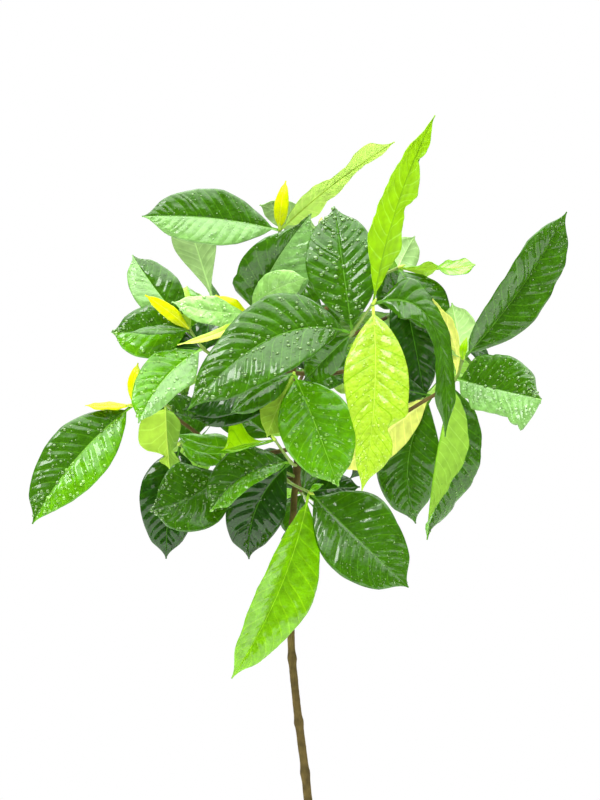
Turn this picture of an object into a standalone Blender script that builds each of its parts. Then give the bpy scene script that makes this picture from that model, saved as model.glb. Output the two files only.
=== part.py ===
"""A standard gardenia in a plain clay pot: one thin bare stem, and a loose round crown of large,
drip-tipped leaves in opposite pairs.

Metres, +Z up, the crown's best side facing -Y. The origin is the middle of the pot's underside.
Sizes are written in millimetres and scaled once, by MM.
"""

import math
import random

import bmesh
import bpy
from mathutils import Matrix, Vector
from mathutils.bvhtree import BVHTree

MM = 0.001
GAP = 0.3
FRONT = Vector((0, -1, 0))
EYE = Vector((-19, -3000, 845))

# The pot and what fills it
POT_HEIGHT = 237
POT_RIM_RADIUS = 130
POT_FOOT_RADIUS = 94
POT_WALL = 8
POT_FLOOR = 12
RIM_BAND = 34
RIM_STEP = 7
SOIL_LEVEL = 215
DRAIN_HOLES = 4
DRAIN_RADIUS = 7
DRAIN_CIRCLE = 52
POT_STEPS = 32
SOIL_STEPS = 24

# The stem: its way up, and what a clipped pair of leaves leaves behind on it
STEM_WAY = [
    (0, 0, SOIL_LEVEL + GAP),
    (0, 0, 245),
    (-4, 2, 330),
    (-11, 0, 445),
    (-23, -2, 547),
    (-28, 0, 610),
    (-27, 2, 690),
    (-25, 0, 745),
    (-22, 0, 782),
    (-27, 6, 850),
    (-24, 4, 915),
    (-36, -8, 974),
]
STEM_FOOT_RADIUS = 5.2
STEM_TOP_RADIUS = 2.8
FLARE_RADIUS = 7.5
FLARE_HEIGHT = 9
KNOT_HEIGHTS = [300, 385, 472, 523, 587, 655, 722, 776]
KNOT_SWELL = 0.9
KNOT_REACH = 4.5
STEM_SIDES = 8

BOUGH_RADIUS = 2.3
BOUGH_TIP_RADIUS = 1.8
TWIG_RADIUS = 1.7
TWIG_TIP_RADIUS = 1.3
LIMB_STEP = 22

# Leaves
PETIOLE_SHARE = 0.06
PETIOLE_HALF_WIDTH = 1.5
TIP_HALF_WIDTH = 0.8
BASE_FULLNESS = 0.85
TIP_FULLNESS = 0.7
DRIP_START = 0.84
DRIP_DEPTH = 0.75
LEAF_THICKNESS_SHARE = 0.0105
LEAF_LEAST_THICKNESS = 1.1
YOUNG_LENGTH = 60
YOUNG_ROWS = 4
LEAF_ROWS = 6


def leaf(node, reach, width, **habit):
    """One leaf. node counts along its twig, reach runs from there to its tip, and width is its
    blade's. turn is how far its face tips up from the front, twist how far it winds on the way,
    arch and bow how far the midrib rises off its face and to the side, hook how much nearer to the
    root it bends, fold how far each half lifts, curl how far the margins roll back, wave how much
    they flutter, broad where it is widest, and age 0 for a leaf just open and 1 for a grown one.
    high and low are the shares of its usual width that its higher and lower halves have, evenly
    spread from root to tip."""
    usual = {"turn": 15, "twist": 0, "arch": 6, "bow": 0, "hook": 0, "fold": 12, "curl": 3,
             "wave": 1, "broad": 0.48, "age": 1.0, "high": (1, 1), "low": (1, 1)}
    return {"node": node, "reach": Vector(reach), "width": width, **usual, **habit}


# Each spray: the nodes along its twig from the limb that carries it, then its leaves
SPRAYS = {
    "front_spray": {
        "limb": "front_bough",
        "twig": [(31, -126, 909), (50, -152, 936)],
        "leaves": [
            leaf(0, (-157, -26, -74), 84, turn=22, arch=14, bow=25, hook=0.16, broad=0.5,
                 high=(1, 1.15, 1.15, 1.08, 0.93, 0.83, 0.73, 0.75, 1),
                 low=(1, 1.2, 1.1, 1, 1, 1, 1, 1, 1)),
            leaf(0, (-17, 34, 124), 72, turn=0, arch=8),
            leaf(1, (60, 30, 182), 58, turn=122, arch=-4, bow=21, wave=3, age=0.3,
                 high=(1, 1.2, 1.5, 1.45, 0.88, 0.87, 0.95, 0.9, 0.6, 0.35, 1),
                 low=(1, 1.5, 1.9, 2.2, 1.9, 1.4, 0.82, 0.64, 0.7, 1.15, 1.41, 1.04, 0.2, 0.58,
                      1, 1.5, 1)),
            leaf(1, (-11, -35, -176), 68, turn=12, bow=-8, age=0.35, broad=0.45,
                 high=(1, 1, 1, 0.9, 0.75, 0.55, 0.6, 1),
                 low=(1, 1, 1, 1, 1, 1, 1, 1, 1, 1.08, 0.47, 0.8, 1, 0.9, 0.8, 1)),
            leaf(1, (69, 2, -126), 60, turn=35, arch=30, bow=28, hook=0.4, age=0.6, broad=0.5,
                 high=(1, 1.5, 1.6, 1, 0.6, 0.5, 0.48, 0.48, 0.55, 0.9, 1),
                 low=(1, 1.4, 1.2, 0.9, 0.5, 0.3, 0.25, 0.3, 0.5, 0.9, 1)),
        ],
    },
    "right_spray": {
        "limb": "right_bough",
        "twig": [(134, -60, 866), (140, -62, 884)],
        "leaves": [
            leaf(1, (102, -4, 145), 68, turn=-25, fold=28, bow=-4,
                 high=(1, 1.5, 1.05, 0.88, 0.87, 0.92, 0.95, 0.85, 1),
                 low=(1, 1, 1, 0.95, 0.87, 0.87, 0.93, 0.9, 1)),
            leaf(0, (76, -95, -20), 80, turn=8, bow=-2, broad=0.5,
                 high=(2, 1.7, 1.1, 0.9, 0.85, 0.88, 0.88, 0.93, 1),
                 low=(1.3, 1.1, 0.62, 0.72, 0.62, 0.62, 0.75, 1.4, 6)),
            leaf(0, (-42, 20, 94), 28, turn=116, arch=16, hook=0.12, age=0.2),
            leaf(0, (-28, -4, -158), 90, turn=-67, fold=63, arch=-6, bow=-4, age=0.85, broad=0.4),
            leaf(1, (-7, 64, 58), 42, turn=170, age=0.3),
            leaf(1, (4, -5, 22), 8, age=0.0),
        ],
    },
    "low_spray": {
        "limb": "stem",
        "twig": [(-34, -8, 772), (-31, -14, 764), (-10, -38, 754)],
        "leaves": [
            leaf(2, (-76, -22, -182), 73, turn=-30, fold=30, bow=-8, age=0.5, broad=0.48,
                 high=(1, 1, 1, 1, 0.97, 0.93, 0.85, 0.85, 1),
                 low=(1, 1, 1, 1, 1, 0.93, 0.87, 0.87, 1)),
            leaf(2, (97, -34, -92), 80, turn=10, bow=-1, broad=0.49,
                 high=(1, 1.3, 1.3, 1.22, 1.1, 1, 1, 1, 1)),
            leaf(2, (14, -3, 8), 7, age=0.0),
        ],
    },
    "left_spray": {
        "limb": "left_bough",
        "twig": [(-150, -74, 840), (-181, -90, 840)],
        "leaves": [
            leaf(1, (-95, -30, -114), 64, turn=12, arch=3, bow=8, broad=0.45,
                 low=(1, 1, 1, 1, 1, 1, 0.92, 0.75, 1)),
            leaf(1, (-46, -8, 0), 22, turn=70, arch=0, age=0.1),
            leaf(1, (5, -2, 41), 13, age=0.0),
            leaf(0, (4, -8, -62), 62, turn=-150, fold=34, arch=2, age=0.6, broad=0.42,
                 high=(1, 1.3, 1.15, 1, 0.95, 0.93, 0.95, 0.85, 0.15, 1, 1),
                 low=(1, 1, 1.1, 0.95, 0.8, 0.7, 0.5, 0.2, 0.5, 1.2, 1)),
        ],
    },
    "upper_left_spray": {
        "limb": "upper_left_bough",
        "twig": [(-113, -84, 895), (-126, -84, 913)],
        "leaves": [
            leaf(0, (-60, -55, -72), 56, turn=12, bow=8, age=0.6,
                 high=(1, 1, 1, 0.95, 0.88, 0.87, 0.87, 0.9, 1),
                 low=(1, 1, 1, 0.95, 0.8, 0.72, 0.7, 0.7, 1)),
            leaf(1, (-57, 20, 74), 48, turn=15, bow=-4, age=0.7),
            leaf(1, (-76, -8, -2), 54, turn=12, bow=-3, age=0.8),
            leaf(1, (-42, -28, 33), 14, fold=20, age=0.0),
            leaf(0, (-57, 12, -2), 44, turn=20),
            leaf(1, (-56, -34, -3), 15, turn=50, bow=-4, age=0.5),
            leaf(1, (-4, 30, 44), 36, turn=30, age=0.9),
        ],
    },
    "top_spray": {
        "limb": "stem",
        "twig": [(-39, -30, 1013)],
        "leaves": [
            leaf(0, (-135, -30, 12), 62, turn=22, bow=3),
            leaf(0, (6, -2, 49), 15, age=0.0, broad=0.4),
            leaf(0, (113, -20, 86), 44, turn=140, age=0.55, broad=0.42,
                 high=(1, 0.8, 0.75, 0.62, 0.35, 0.45, 0.95, 1.55, 1),
                 low=(1, 1.2, 1.05, 0.52, 0.57, 0.3, 0.2, 0.55, 1)),
        ],
    },
    "crown_front_spray": {
        "limb": "stem",
        "twig": [(-68, -52, 930)],
        "leaves": [
            leaf(0, (60, -36, 96), 80, turn=8, bow=4, broad=0.43,
                 high=(1.5, 1.4, 0.9, 0.8, 0.7, 0.6, 0.38, 0.17, 0.5)),
            leaf(0, (56, -58, 32), 36, turn=12, bow=6, age=0.4),
            leaf(0, (-68, -80, -32), 11, turn=30, bow=-10, age=0.0),
            leaf(0, (-75, -46, 10), 34, turn=30, arch=4, bow=-6, age=0.5),
            leaf(0, (-34, -6, 18), 18, turn=20, bow=-5, fold=20, age=0.0),
        ],
    },
    "right_back_spray": {
        "limb": "right_back_bough",
        "twig": [(80, 20, 978)],
        "leaves": [
            leaf(0, (77, -10, 3), 62, turn=90, twist=84, arch=-3, wave=3, age=0.5, broad=0.6),
            leaf(0, (18, 40, 34), 34, turn=170, age=0.4),
            leaf(0, (50, -22, -66), 50, turn=15, bow=-3),
            leaf(0, (27, -10, -134), 46, turn=5),
        ],
    },
    "low_right_spray": {
        "limb": "low_right_bough",
        "twig": [(113, 0, 849)],
        "leaves": [
            leaf(0, (-92, -46, -74), 46, turn=175, age=0.6),
            leaf(0, (-16, 8, -128), 66, turn=5, bow=15),
            leaf(0, (-82, 30, -84), 40, turn=-15),
        ],
    },
    "centre_spray": {
        "limb": "stem",
        "twig": [(-25, -80, 871)],
        "leaves": [
            leaf(0, (43, -20, -110), 76, turn=12, age=0.8, broad=0.45),
            leaf(0, (-26, -26, -62), 36, turn=165, age=0.7),
            leaf(0, (-108, 4, -36), 52, turn=25),
            leaf(0, (-101, 18, -44), 50, turn=15, bow=-3),
            leaf(0, (-62, -24, -40), 32, turn=30, curl=6, age=0.7),
        ],
    },
    "inner_left_spray": {
        "limb": "stem",
        "twig": [(-28, -14, 783), (-44, -45, 806)],
        "leaves": [
            leaf(1, (-51, -34, -10), 30, turn=10, fold=20, age=0.1, broad=0.74,
                 high=(0.4, 0.4, 0.4, 0.5, 0.9, 2.2, 2, 0.7, 0.5), low=(0.3, 0.3)),
            leaf(1, (-98, -8, 7), 19, turn=30, bow=-16, age=0.3, broad=0.7,
                 high=(1, 1, 1.2, 1.6, 2, 1.8, 1.1, 1, 1)),
            leaf(0, (-80, -35, -48), 58, turn=18, arch=10, bow=10, fold=28, wave=2,
                 low=(1, 0.6, 0.55, 0.6, 1)),
            leaf(0, (-42, 10, -97), 60, turn=5, bow=13),
        ],
    },
    "low_left_spray": {
        "limb": "low_left_bough",
        "twig": [(-94, 0, 776), (-139, 6, 800)],
        "leaves": [
            leaf(0, (-74, -30, -40), 75, turn=12, bow=-10),
            leaf(1, (44, -12, -18), 30, turn=25, age=0.6),
            leaf(1, (-14, -4, -114), 62, turn=5, bow=3, broad=0.4),
        ],
    },
}

# Each bough: how high on the stem it starts, a point on its way, and its tip
BOUGHS = {
    "front_bough": (845, (-2, -65, 880), (22, -112, 900)),
    "right_bough": (788, (60, -50, 820), (118, -58, 853)),
    "left_bough": (797, (-85, -8, 790), (-142, -46, 828)),
    "upper_left_bough": (872, (-65, -45, 882), (-100, -72, 888)),
    "low_left_bough": (766, (-55, 8, 766), (-80, 4, 772)),
    "low_right_bough": (801, (50, 22, 820), (98, 6, 842)),
    "right_back_bough": (912, (25, 32, 950), (66, 24, 972)),
}

# The boughs at the sides and behind, which the front shows only through its gaps: how high on the
# stem each starts, its tip, and the last node of its twig
BACK_BOUGHS = {
    "top_back": (940, (-10, 78, 995), (2, 118, 1030)),
    "high_right_back": (895, (70, 100, 930), (98, 140, 950)),
    "low_right_back": (812, (72, 108, 822), (104, 148, 818)),
    "high_left_back": (905, (-96, 82, 938), (-132, 110, 958)),
    "low_left_back": (822, (-98, 88, 822), (-136, 120, 816)),
    "middle_back": (858, (-16, 118, 872), (-14, 170, 880)),
    "low_back": (784, (-18, 62, 752), (-12, 104, 742)),
    "right_side": (872, (58, 44, 884), (98, 62, 900)),
    "left_side": (856, (-86, 34, 858), (-128, 52, 866)),
}
BACK_LEAVES = {
    "top_back": [
        leaf(0, (-12, -28, -74), 50, turn=10),
        leaf(2, (-60, -16, 24), 30, turn=168, age=0.6),
    ],
    "high_right_back": [leaf(0, (-8, -40, 44), 44, turn=20)],
    "high_left_back": [
        leaf(0, (-30, -14, 96), 46, turn=176, age=0.7, broad=0.66),
        leaf(0, (-8, -26, -50), 38, turn=10),
    ],
    "low_left_back": [leaf(0, (-64, -54, 16), 44, turn=15)],
    "middle_back": [leaf(0, (58, -56, 4), 50, turn=20), leaf(0, (34, -44, 72), 46, turn=25)],
    "low_back": [
        leaf(0, (-12, -16, -44), 34, turn=-10, bow=4),
        leaf(0, (58, -26, 8), 34, turn=20),
        leaf(0, (-50, -16, 44), 36, turn=15, broad=0.62),
        leaf(0, (12, -24, 52), 28, turn=15),
    ],
}
BACK_PAIRS = 4
BACK_LENGTHS = (150, 95)
BACK_WIDTH_SHARE = 0.42
BACK_SPREAD = 62
BACK_SPREAD_PLAY = 28
BACK_SPIN_PLAY = 40
BACK_DROOP = 0.35
HIDDEN_SHARE = 0.96
CORE_CENTRE = Vector((0, 0, 865))
CORE_RADIUS = 95
TOUCH_ROOM = 0.8
OWN_ROOM = 0.3
TRIES = 30
SEED = 7


def clear_scene():
    for old in list(bpy.data.objects):
        bpy.data.objects.remove(old, do_unlink=True)


def new_collection(name):
    group = bpy.data.collections.new(name)
    bpy.context.scene.collection.children.link(group)
    return group


def material(name, colour, roughness):
    paint = bpy.data.materials.new(name)
    paint.use_nodes = True
    shader = paint.node_tree.nodes["Principled BSDF"]
    shader.inputs["Base Color"].default_value = (*colour, 1)
    shader.inputs["Roughness"].default_value = roughness
    shader.inputs["Metallic"].default_value = 0
    return paint


def add_object(name, mesh, group, paint=None):
    made = bpy.data.objects.new(name, mesh)
    group.objects.link(made)
    if paint:
        mesh.materials.clear()
        mesh.materials.append(paint)
    return made


def evaluated_mesh(thing):
    """The mesh of an object with its modifiers, or of a curve with its bevel."""
    graph = bpy.context.evaluated_depsgraph_get()
    graph.update()
    return bpy.data.meshes.new_from_object(thing.evaluated_get(graph))


def weld(mesh, distance=1e-6):
    shape = bmesh.new()
    shape.from_mesh(mesh)
    bmesh.ops.remove_doubles(shape, verts=shape.verts, dist=distance)
    bmesh.ops.recalc_face_normals(shape, faces=shape.faces)
    shape.to_mesh(mesh)
    shape.free()


def largest_body(mesh):
    """Drops any loose scrap that a union or a cut leaves beside the main body."""
    shape = bmesh.new()
    shape.from_mesh(mesh)
    left, bodies = set(shape.verts), []
    while left:
        todo, body = [left.pop()], []
        while todo:
            vert = todo.pop()
            body.append(vert)
            for edge in vert.link_edges:
                other = edge.other_vert(vert)
                if other in left:
                    left.remove(other)
                    todo.append(other)
        bodies.append(body)
    bodies.sort(key=len)
    for body in bodies[:-1]:
        bmesh.ops.delete(shape, geom=body, context="VERTS")
    shape.to_mesh(mesh)
    shape.free()


def smooth_way(points, step):
    """A smooth line through points, with a point about every step, as Catmull and Rom draw it."""
    spots = [Vector(p) for p in points]
    spots = [2 * spots[0] - spots[1], *spots, 2 * spots[-1] - spots[-2]]
    line = []
    for a, b, c, d in zip(spots, spots[1:], spots[2:], spots[3:]):
        count = max(1, round((c - b).length / step))
        for i in range(count):
            t = i / count
            line.append(
                0.5 * (2 * b + (c - a) * t + (2 * a - 5 * b + 4 * c - d) * t**2
                       + (3 * b - a - 3 * c + d) * t**3)
            )
    return [*line, spots[-2]]


def tube_mesh(line, radii, sides=6):
    """A closed round tube along a line, in metres, from a bevelled curve with filled caps."""
    curve = bpy.data.curves.new("tube", "CURVE")
    curve.dimensions = "3D"
    curve.bevel_depth = MM
    curve.bevel_resolution = (sides - 4) // 2
    curve.use_fill_caps = True
    spline = curve.splines.new("POLY")
    spline.points.add(len(line) - 1)
    for point, place, radius in zip(spline.points, line, radii):
        point.co = (*(place * MM), 1)
        point.radius = radius
    holder = bpy.data.objects.new("tube", curve)
    bpy.context.scene.collection.objects.link(holder)
    mesh = evaluated_mesh(holder)
    bpy.data.objects.remove(holder)
    weld(mesh)
    return mesh


def stem_radius(height):
    """The stem's taper, with the root flare at its foot and a knot where each pair of leaves was."""
    bottom, top = STEM_WAY[0][2], STEM_WAY[-1][2]
    share = (height - bottom) / (top - bottom)
    radius = STEM_TOP_RADIUS + (STEM_FOOT_RADIUS - STEM_TOP_RADIUS) * (1 - share) ** 1.3
    radius += FLARE_RADIUS * math.exp(-(height - bottom) / FLARE_HEIGHT)
    for knot in KNOT_HEIGHTS:
        radius += KNOT_SWELL * math.exp(-(((height - knot) / KNOT_REACH) ** 2))
    return radius


def stem_line():
    """The stem's middle line, with close points at the flare and the knots."""
    line = smooth_way(STEM_WAY, 2)
    kept = [line[0]]
    for place in line[1:-1]:
        near_knot = min(abs(place.z - knot) for knot in KNOT_HEIGHTS) < 1.5 * KNOT_REACH
        near_foot = place.z < STEM_WAY[0][2] + 3 * FLARE_HEIGHT
        step = 4 if near_knot else 6 if near_foot else LIMB_STEP
        if (place - kept[-1]).length >= step:
            kept.append(place)
    return [*kept, line[-1]]


def on_stem(height):
    """The stem's middle at a height."""
    line = stem_line()
    for low, high in zip(line, line[1:]):
        if low.z <= height <= high.z:
            return low.lerp(high, (height - low.z) / (high.z - low.z))
    return line[-1]


def taper(line, first, last):
    return [first + (last - first) * i / (len(line) - 1) for i in range(len(line))]


def bough_line(name):
    start, way, tip = {**BOUGHS, **BACK_BOUGHS}[name]
    if name in BACK_BOUGHS:
        tip, way = Vector(way), Vector(way).lerp(on_stem(start), 0.5) + Vector((0, 0, -6))
    return smooth_way([on_stem(start), way, tip], LIMB_STEP)


def twig_line(spray):
    """The twig that starts where its limb ends, GAP clear and in line with it, or inside the stem
    where the stem itself carries it: it is cut clear of the stem later."""
    limb, nodes = spray["limb"], [Vector(p) for p in spray["twig"]]
    if limb != "stem":
        line = bough_line(limb)
        along = (line[-1] - line[-2]).normalized()
        return [line[-1] + GAP * along, line[-1] + 4 * along, *nodes]
    top = Vector(STEM_WAY[-1])
    if nodes[0].z > top.z:
        along = (stem_line()[-1] - stem_line()[-2]).normalized()
        return [top + GAP * along, top + 4 * along, *nodes]
    return [on_stem(nodes[0].z - 4), *nodes]


def half_width(shape, share):
    """Half the blade's width at a share of the way from the leaf's root to its tip."""
    if share <= PETIOLE_SHARE:
        return PETIOLE_HALF_WIDTH
    along = min(1.0, (share - PETIOLE_SHARE) / (1 - PETIOLE_SHARE))
    bend = math.log(0.5) / math.log(shape["broad"])
    full = BASE_FULLNESS if along < shape["broad"] else TIP_FULLNESS
    blade = max(0.0, math.sin(math.pi * along**bend)) ** full
    drip = max(0.0, (along - DRIP_START) / (1 - DRIP_START))
    blade *= 1 - DRIP_DEPTH * drip * drip * (3 - 2 * drip)
    least = PETIOLE_HALF_WIDTH + (TIP_HALF_WIDTH - PETIOLE_HALF_WIDTH) * along
    return max(least, shape["width"] / 2 * blade)


def row_shares(rows):
    """Where the rows of a leaf's grid lie: its root, then closer together at both ends."""
    blade = [0.5 - 0.5 * math.cos(math.pi * i / (rows - 1)) for i in range(rows)]
    return [0.0] + [PETIOLE_SHARE + (1 - PETIOLE_SHARE) * along for along in blade]


def face_of(shape):
    """The way that the leaf's upper face looks, square to its reach."""
    along = shape["reach"].normalized()
    front = (FRONT - along * FRONT.dot(along)).normalized()
    up = along.cross(front)
    if up.z < 0:
        up = -up
    turn = math.radians(shape["turn"])
    return front * math.cos(turn) + up * math.sin(turn)


def trimmed(factors, share):
    """The share of its usual width that one half of a leaf has at a share of its length."""
    place = min(max(share, 0.0), 0.9999) * (len(factors) - 1)
    first, second = factors[int(place) : int(place) + 2]
    return first + (second - first) * (place % 1)


def leaf_point(shape, root, across, share):
    """A point of the blade: across runs from -1 to 1 between its margins, share from root to tip."""
    reach, face = shape["reach"], face_of(shape)
    side = reach.normalized().cross(face)
    if side.z < 0:
        bow_way = -side
    else:
        bow_way = side
    half = shape["high"] if (across > 0) == (side.z >= 0) else shape["low"]
    middle = reach * (0.5 - shape["hook"]) + 2 * shape["arch"] * face + 2 * shape["bow"] * bow_way
    spot = 2 * share * (1 - share) * middle + share**2 * reach
    ahead = (2 * (1 - 2 * share) * middle + 2 * share * reach).normalized()
    face = Matrix.Rotation(math.radians(shape["twist"]) * (share - 0.5), 3, ahead) @ face
    face = (face - ahead * face.dot(ahead)).normalized()
    side = ahead.cross(face)
    wide, out = half_width(shape, share) * trimmed(half, share), abs(across)
    ease = min(1, wide / 15)
    fold = math.radians(shape["fold"]) * ease * (1 - share**4)
    lift = wide * out * math.sin(fold) - shape["curl"] * out**3 * ease
    lift += shape["wave"] * out**2 * math.sin(5 * math.pi * share + across) * ease
    return root + spot + side * across * wide * math.cos(fold) + face * lift


def leaf_mesh(shape, root, extra=0.0, from_share=0.0):
    """The solid of one leaf: a grid laid along the midrib, then given its thickness. extra makes it
    thicker, and from_share leaves out the stretch next to the twig."""
    length = shape["reach"].length
    shares = row_shares(YOUNG_ROWS if length < YOUNG_LENGTH else LEAF_ROWS)
    rows = len(shares) - 1
    solid = bmesh.new()
    bmesh.ops.create_grid(solid, x_segments=2, y_segments=rows, size=1)
    for vert in solid.verts:
        share = shares[round((vert.co.y + 1) / 2 * rows)]
        vert.co = leaf_point(shape, root, vert.co.x, share) * MM
    near = [v for v in solid.verts if (v.co / MM - root).length < from_share * length]
    bmesh.ops.delete(solid, geom=near, context="VERTS")
    thickness = max(LEAF_LEAST_THICKNESS, length * LEAF_THICKNESS_SHARE) + extra
    bmesh.ops.recalc_face_normals(solid, faces=solid.faces)
    bmesh.ops.solidify(solid, geom=solid.faces[:], thickness=thickness * MM)
    bmesh.ops.recalc_face_normals(solid, faces=solid.faces)
    bmesh.ops.triangulate(solid, faces=solid.faces)
    mesh = bpy.data.meshes.new("leaf")
    solid.to_mesh(mesh)
    solid.free()
    return mesh


def tree_of(mesh):
    shape = bmesh.new()
    shape.from_mesh(mesh)
    tree = BVHTree.FromBMesh(shape)
    shape.free()
    return tree


class Space:
    """What the leaves must keep clear of: the limbs, and the leaves placed before."""

    def __init__(self):
        self.solids = []

    def add(self, owner, mesh):
        self.solids.append((owner, tree_of(mesh)))

    def touched(self, owner, shape, root):
        """The owners of the solids that a leaf would touch. By its twig it may touch its own kind."""
        tree = tree_of(leaf_mesh(shape, root, extra=TOUCH_ROOM))
        outer = tree_of(leaf_mesh(shape, root, extra=TOUCH_ROOM, from_share=OWN_ROOM))
        return sorted({
            o for o, solid in self.solids if (outer if o == owner else tree).overlap(solid)
        })

    def hidden(self, shape, root):
        """The share of a leaf that lies behind others, or behind the crown's close middle."""
        spots = [leaf_point(shape, root, u, t / 8) for u in (-0.9, 0, 0.9) for t in range(2, 9)]
        behind = 0
        for spot in spots:
            way = (EYE - spot).normalized()
            start = (spot + 3 * way) * MM
            middle = spot - CORE_CENTRE
            in_core = math.hypot(middle.x, middle.z) < CORE_RADIUS
            behind += in_core or any(solid.ray_cast(start, way)[0] for _, solid in self.solids)
        return behind / len(spots)


def back_leaves(name, twig, space, draw):
    """Opposite pairs along a twig, each pair at right angles to the last. A leaf that would touch
    another spray or a limb, or close a gap of the crown, is turned a few times, then skipped."""
    made = []
    for pair in range(BACK_PAIRS):
        node = len(twig) - BACK_PAIRS + pair
        length = BACK_LENGTHS[0] + (BACK_LENGTHS[1] - BACK_LENGTHS[0]) * pair / (BACK_PAIRS - 1)
        along = (twig[-1] - twig[-2]).normalized()
        square = along.orthogonal().normalized()
        for side in (0, 180):
            for _ in range(TRIES):
                spread = math.radians(BACK_SPREAD + BACK_SPREAD_PLAY * draw.uniform(-1, 1))
                spin = math.radians(90 * pair + side + BACK_SPIN_PLAY * draw.uniform(-1, 1))
                out = Matrix.Rotation(spin, 3, along) @ square
                reach = along * math.cos(spread) + out * math.sin(spread)
                reach.z -= BACK_DROOP * draw.uniform(0.3, 1)
                reach = reach.normalized() * length * draw.uniform(0.85, 1.1)
                shape = leaf(node, reach, length * BACK_WIDTH_SHARE, fold=draw.uniform(6, 22),
                             arch=draw.uniform(5, 16), age=draw.uniform(0.7, 1.0))
                shape["turn"] = draw.uniform(60, 100) if reach.y < 0 else draw.uniform(95, 150)
                root = twig[node]
                if space.hidden(shape, root) < HIDDEN_SHARE:
                    continue
                if not space.touched(name, shape, root):
                    made.append(shape)
                    space.add(name, leaf_mesh(shape, root))
                    break
    return made


def back_spray(name):
    """The twig of a bough behind: straight on from the bough, with its nodes spread evenly."""
    tip, last = Vector(BACK_BOUGHS[name][1]), Vector(BACK_BOUGHS[name][2])
    nodes = [tip.lerp(last, (i + 1.5) / (BACK_PAIRS + 0.5)) for i in range(BACK_PAIRS)]
    return {"limb": name, "twig": [tuple(n) for n in nodes], "leaves": BACK_LEAVES.get(name, [])}


def plan_crown():
    """Every spray with its leaves, the front ones as set above and those behind by rule."""
    space, draw = Space(), random.Random(SEED)
    line = stem_line()
    space.add("stem", tube_mesh(line, [stem_radius(p.z) for p in line], STEM_SIDES))
    for name in [*BOUGHS, *BACK_BOUGHS]:
        line = bough_line(name)
        space.add(name, tube_mesh(line, taper(line, BOUGH_RADIUS, BOUGH_TIP_RADIUS)))
    plan = dict(SPRAYS)
    behind = {f"{name}_spray": back_spray(name) for name in BACK_BOUGHS}
    for name, spray in [*SPRAYS.items(), *behind.items()]:
        for shape in spray["leaves"]:
            space.add(name, leaf_mesh(shape, Vector(spray["twig"][shape["node"]])))
    for name in BACK_BOUGHS:
        spray = behind[f"{name}_spray"]
        twig = twig_line(spray)
        grown = back_leaves(f"{name}_spray", twig, space, draw)
        for shape in grown:
            shape["node"] -= len(twig) - len(spray["twig"])
        spray["leaves"] = [*spray["leaves"], *grown]
        plan[f"{name}_spray"] = spray
    return plan


def join(base, meshes):
    """The union of a mesh with others, made through a collection."""
    group = new_collection("to_join")
    for mesh in meshes:
        add_object("joined_leaf", mesh, group)
    holder = bpy.data.objects.new("holder", base)
    bpy.context.scene.collection.objects.link(holder)
    union = holder.modifiers.new("Union", "BOOLEAN")
    union.operation = "UNION"
    union.operand_type = "COLLECTION"
    union.collection = group
    mesh = evaluated_mesh(holder)
    bpy.data.objects.remove(holder)
    for used in list(group.objects):
        bpy.data.objects.remove(used)
    bpy.data.collections.remove(group)
    largest_body(mesh)
    return mesh


def cut_clear(mesh, cutter):
    """Takes from a limb or a spray whatever lies inside the stem or within GAP of it."""
    holder = bpy.data.objects.new("holder", mesh)
    bpy.context.scene.collection.objects.link(holder)
    cut = holder.modifiers.new("Seat", "BOOLEAN")
    cut.operation = "DIFFERENCE"
    cut.object = cutter
    made = evaluated_mesh(holder)
    bpy.data.objects.remove(holder)
    largest_body(made)
    return made


def turned_mesh(profile, steps):
    """A turned solid. The profile runs down its outer side and back up its inner side, at +X."""
    outline = bmesh.new()
    verts = [outline.verts.new((x * MM, 0, z * MM)) for x, z in profile]
    for a, b in zip(verts, verts[1:]):
        outline.edges.new((a, b))
    mesh = bpy.data.meshes.new("turned")
    outline.to_mesh(mesh)
    outline.free()
    holder = bpy.data.objects.new("turned", mesh)
    bpy.context.scene.collection.objects.link(holder)
    screw = holder.modifiers.new("Screw", "SCREW")
    screw.steps = screw.render_steps = steps
    screw.use_merge_vertices = True
    screw.merge_threshold = 1e-5
    made = evaluated_mesh(holder)
    bpy.data.objects.remove(holder)
    weld(made)
    return made


def pot_profile():
    """Outer side from the rim down, under the foot, and back up the inside."""
    band_foot = POT_HEIGHT - RIM_BAND
    body_top = POT_RIM_RADIUS - RIM_STEP
    slope = (POT_RIM_RADIUS - POT_FOOT_RADIUS) / POT_HEIGHT
    inner_top = body_top - POT_WALL
    inner_foot = POT_FOOT_RADIUS - POT_WALL
    return [
        (inner_top, POT_HEIGHT - 2),
        (inner_top + 2, POT_HEIGHT),
        (POT_RIM_RADIUS - 3, POT_HEIGHT),
        (POT_RIM_RADIUS, POT_HEIGHT - 3),
        (POT_RIM_RADIUS - 2, band_foot + 2),
        (POT_RIM_RADIUS - 4, band_foot),
        (POT_RIM_RADIUS - RIM_STEP - slope * RIM_BAND, band_foot - 1),
        (POT_FOOT_RADIUS + 1, 4),
        (POT_FOOT_RADIUS - 2, 0),
        (0, 0),
        (0, POT_FLOOR),
        (inner_foot - 6, POT_FLOOR),
        (inner_foot, POT_FLOOR + 6),
        (inner_top, POT_HEIGHT - 2),
    ]


def inner_radius(height):
    """The pot's inside radius at a height above its floor's round corner."""
    bottom, top = POT_FLOOR + 6, POT_HEIGHT - 2
    inner_top = POT_RIM_RADIUS - RIM_STEP - POT_WALL
    inner_foot = POT_FOOT_RADIUS - POT_WALL
    return inner_foot + (inner_top - inner_foot) * (height - bottom) / (top - bottom)


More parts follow.
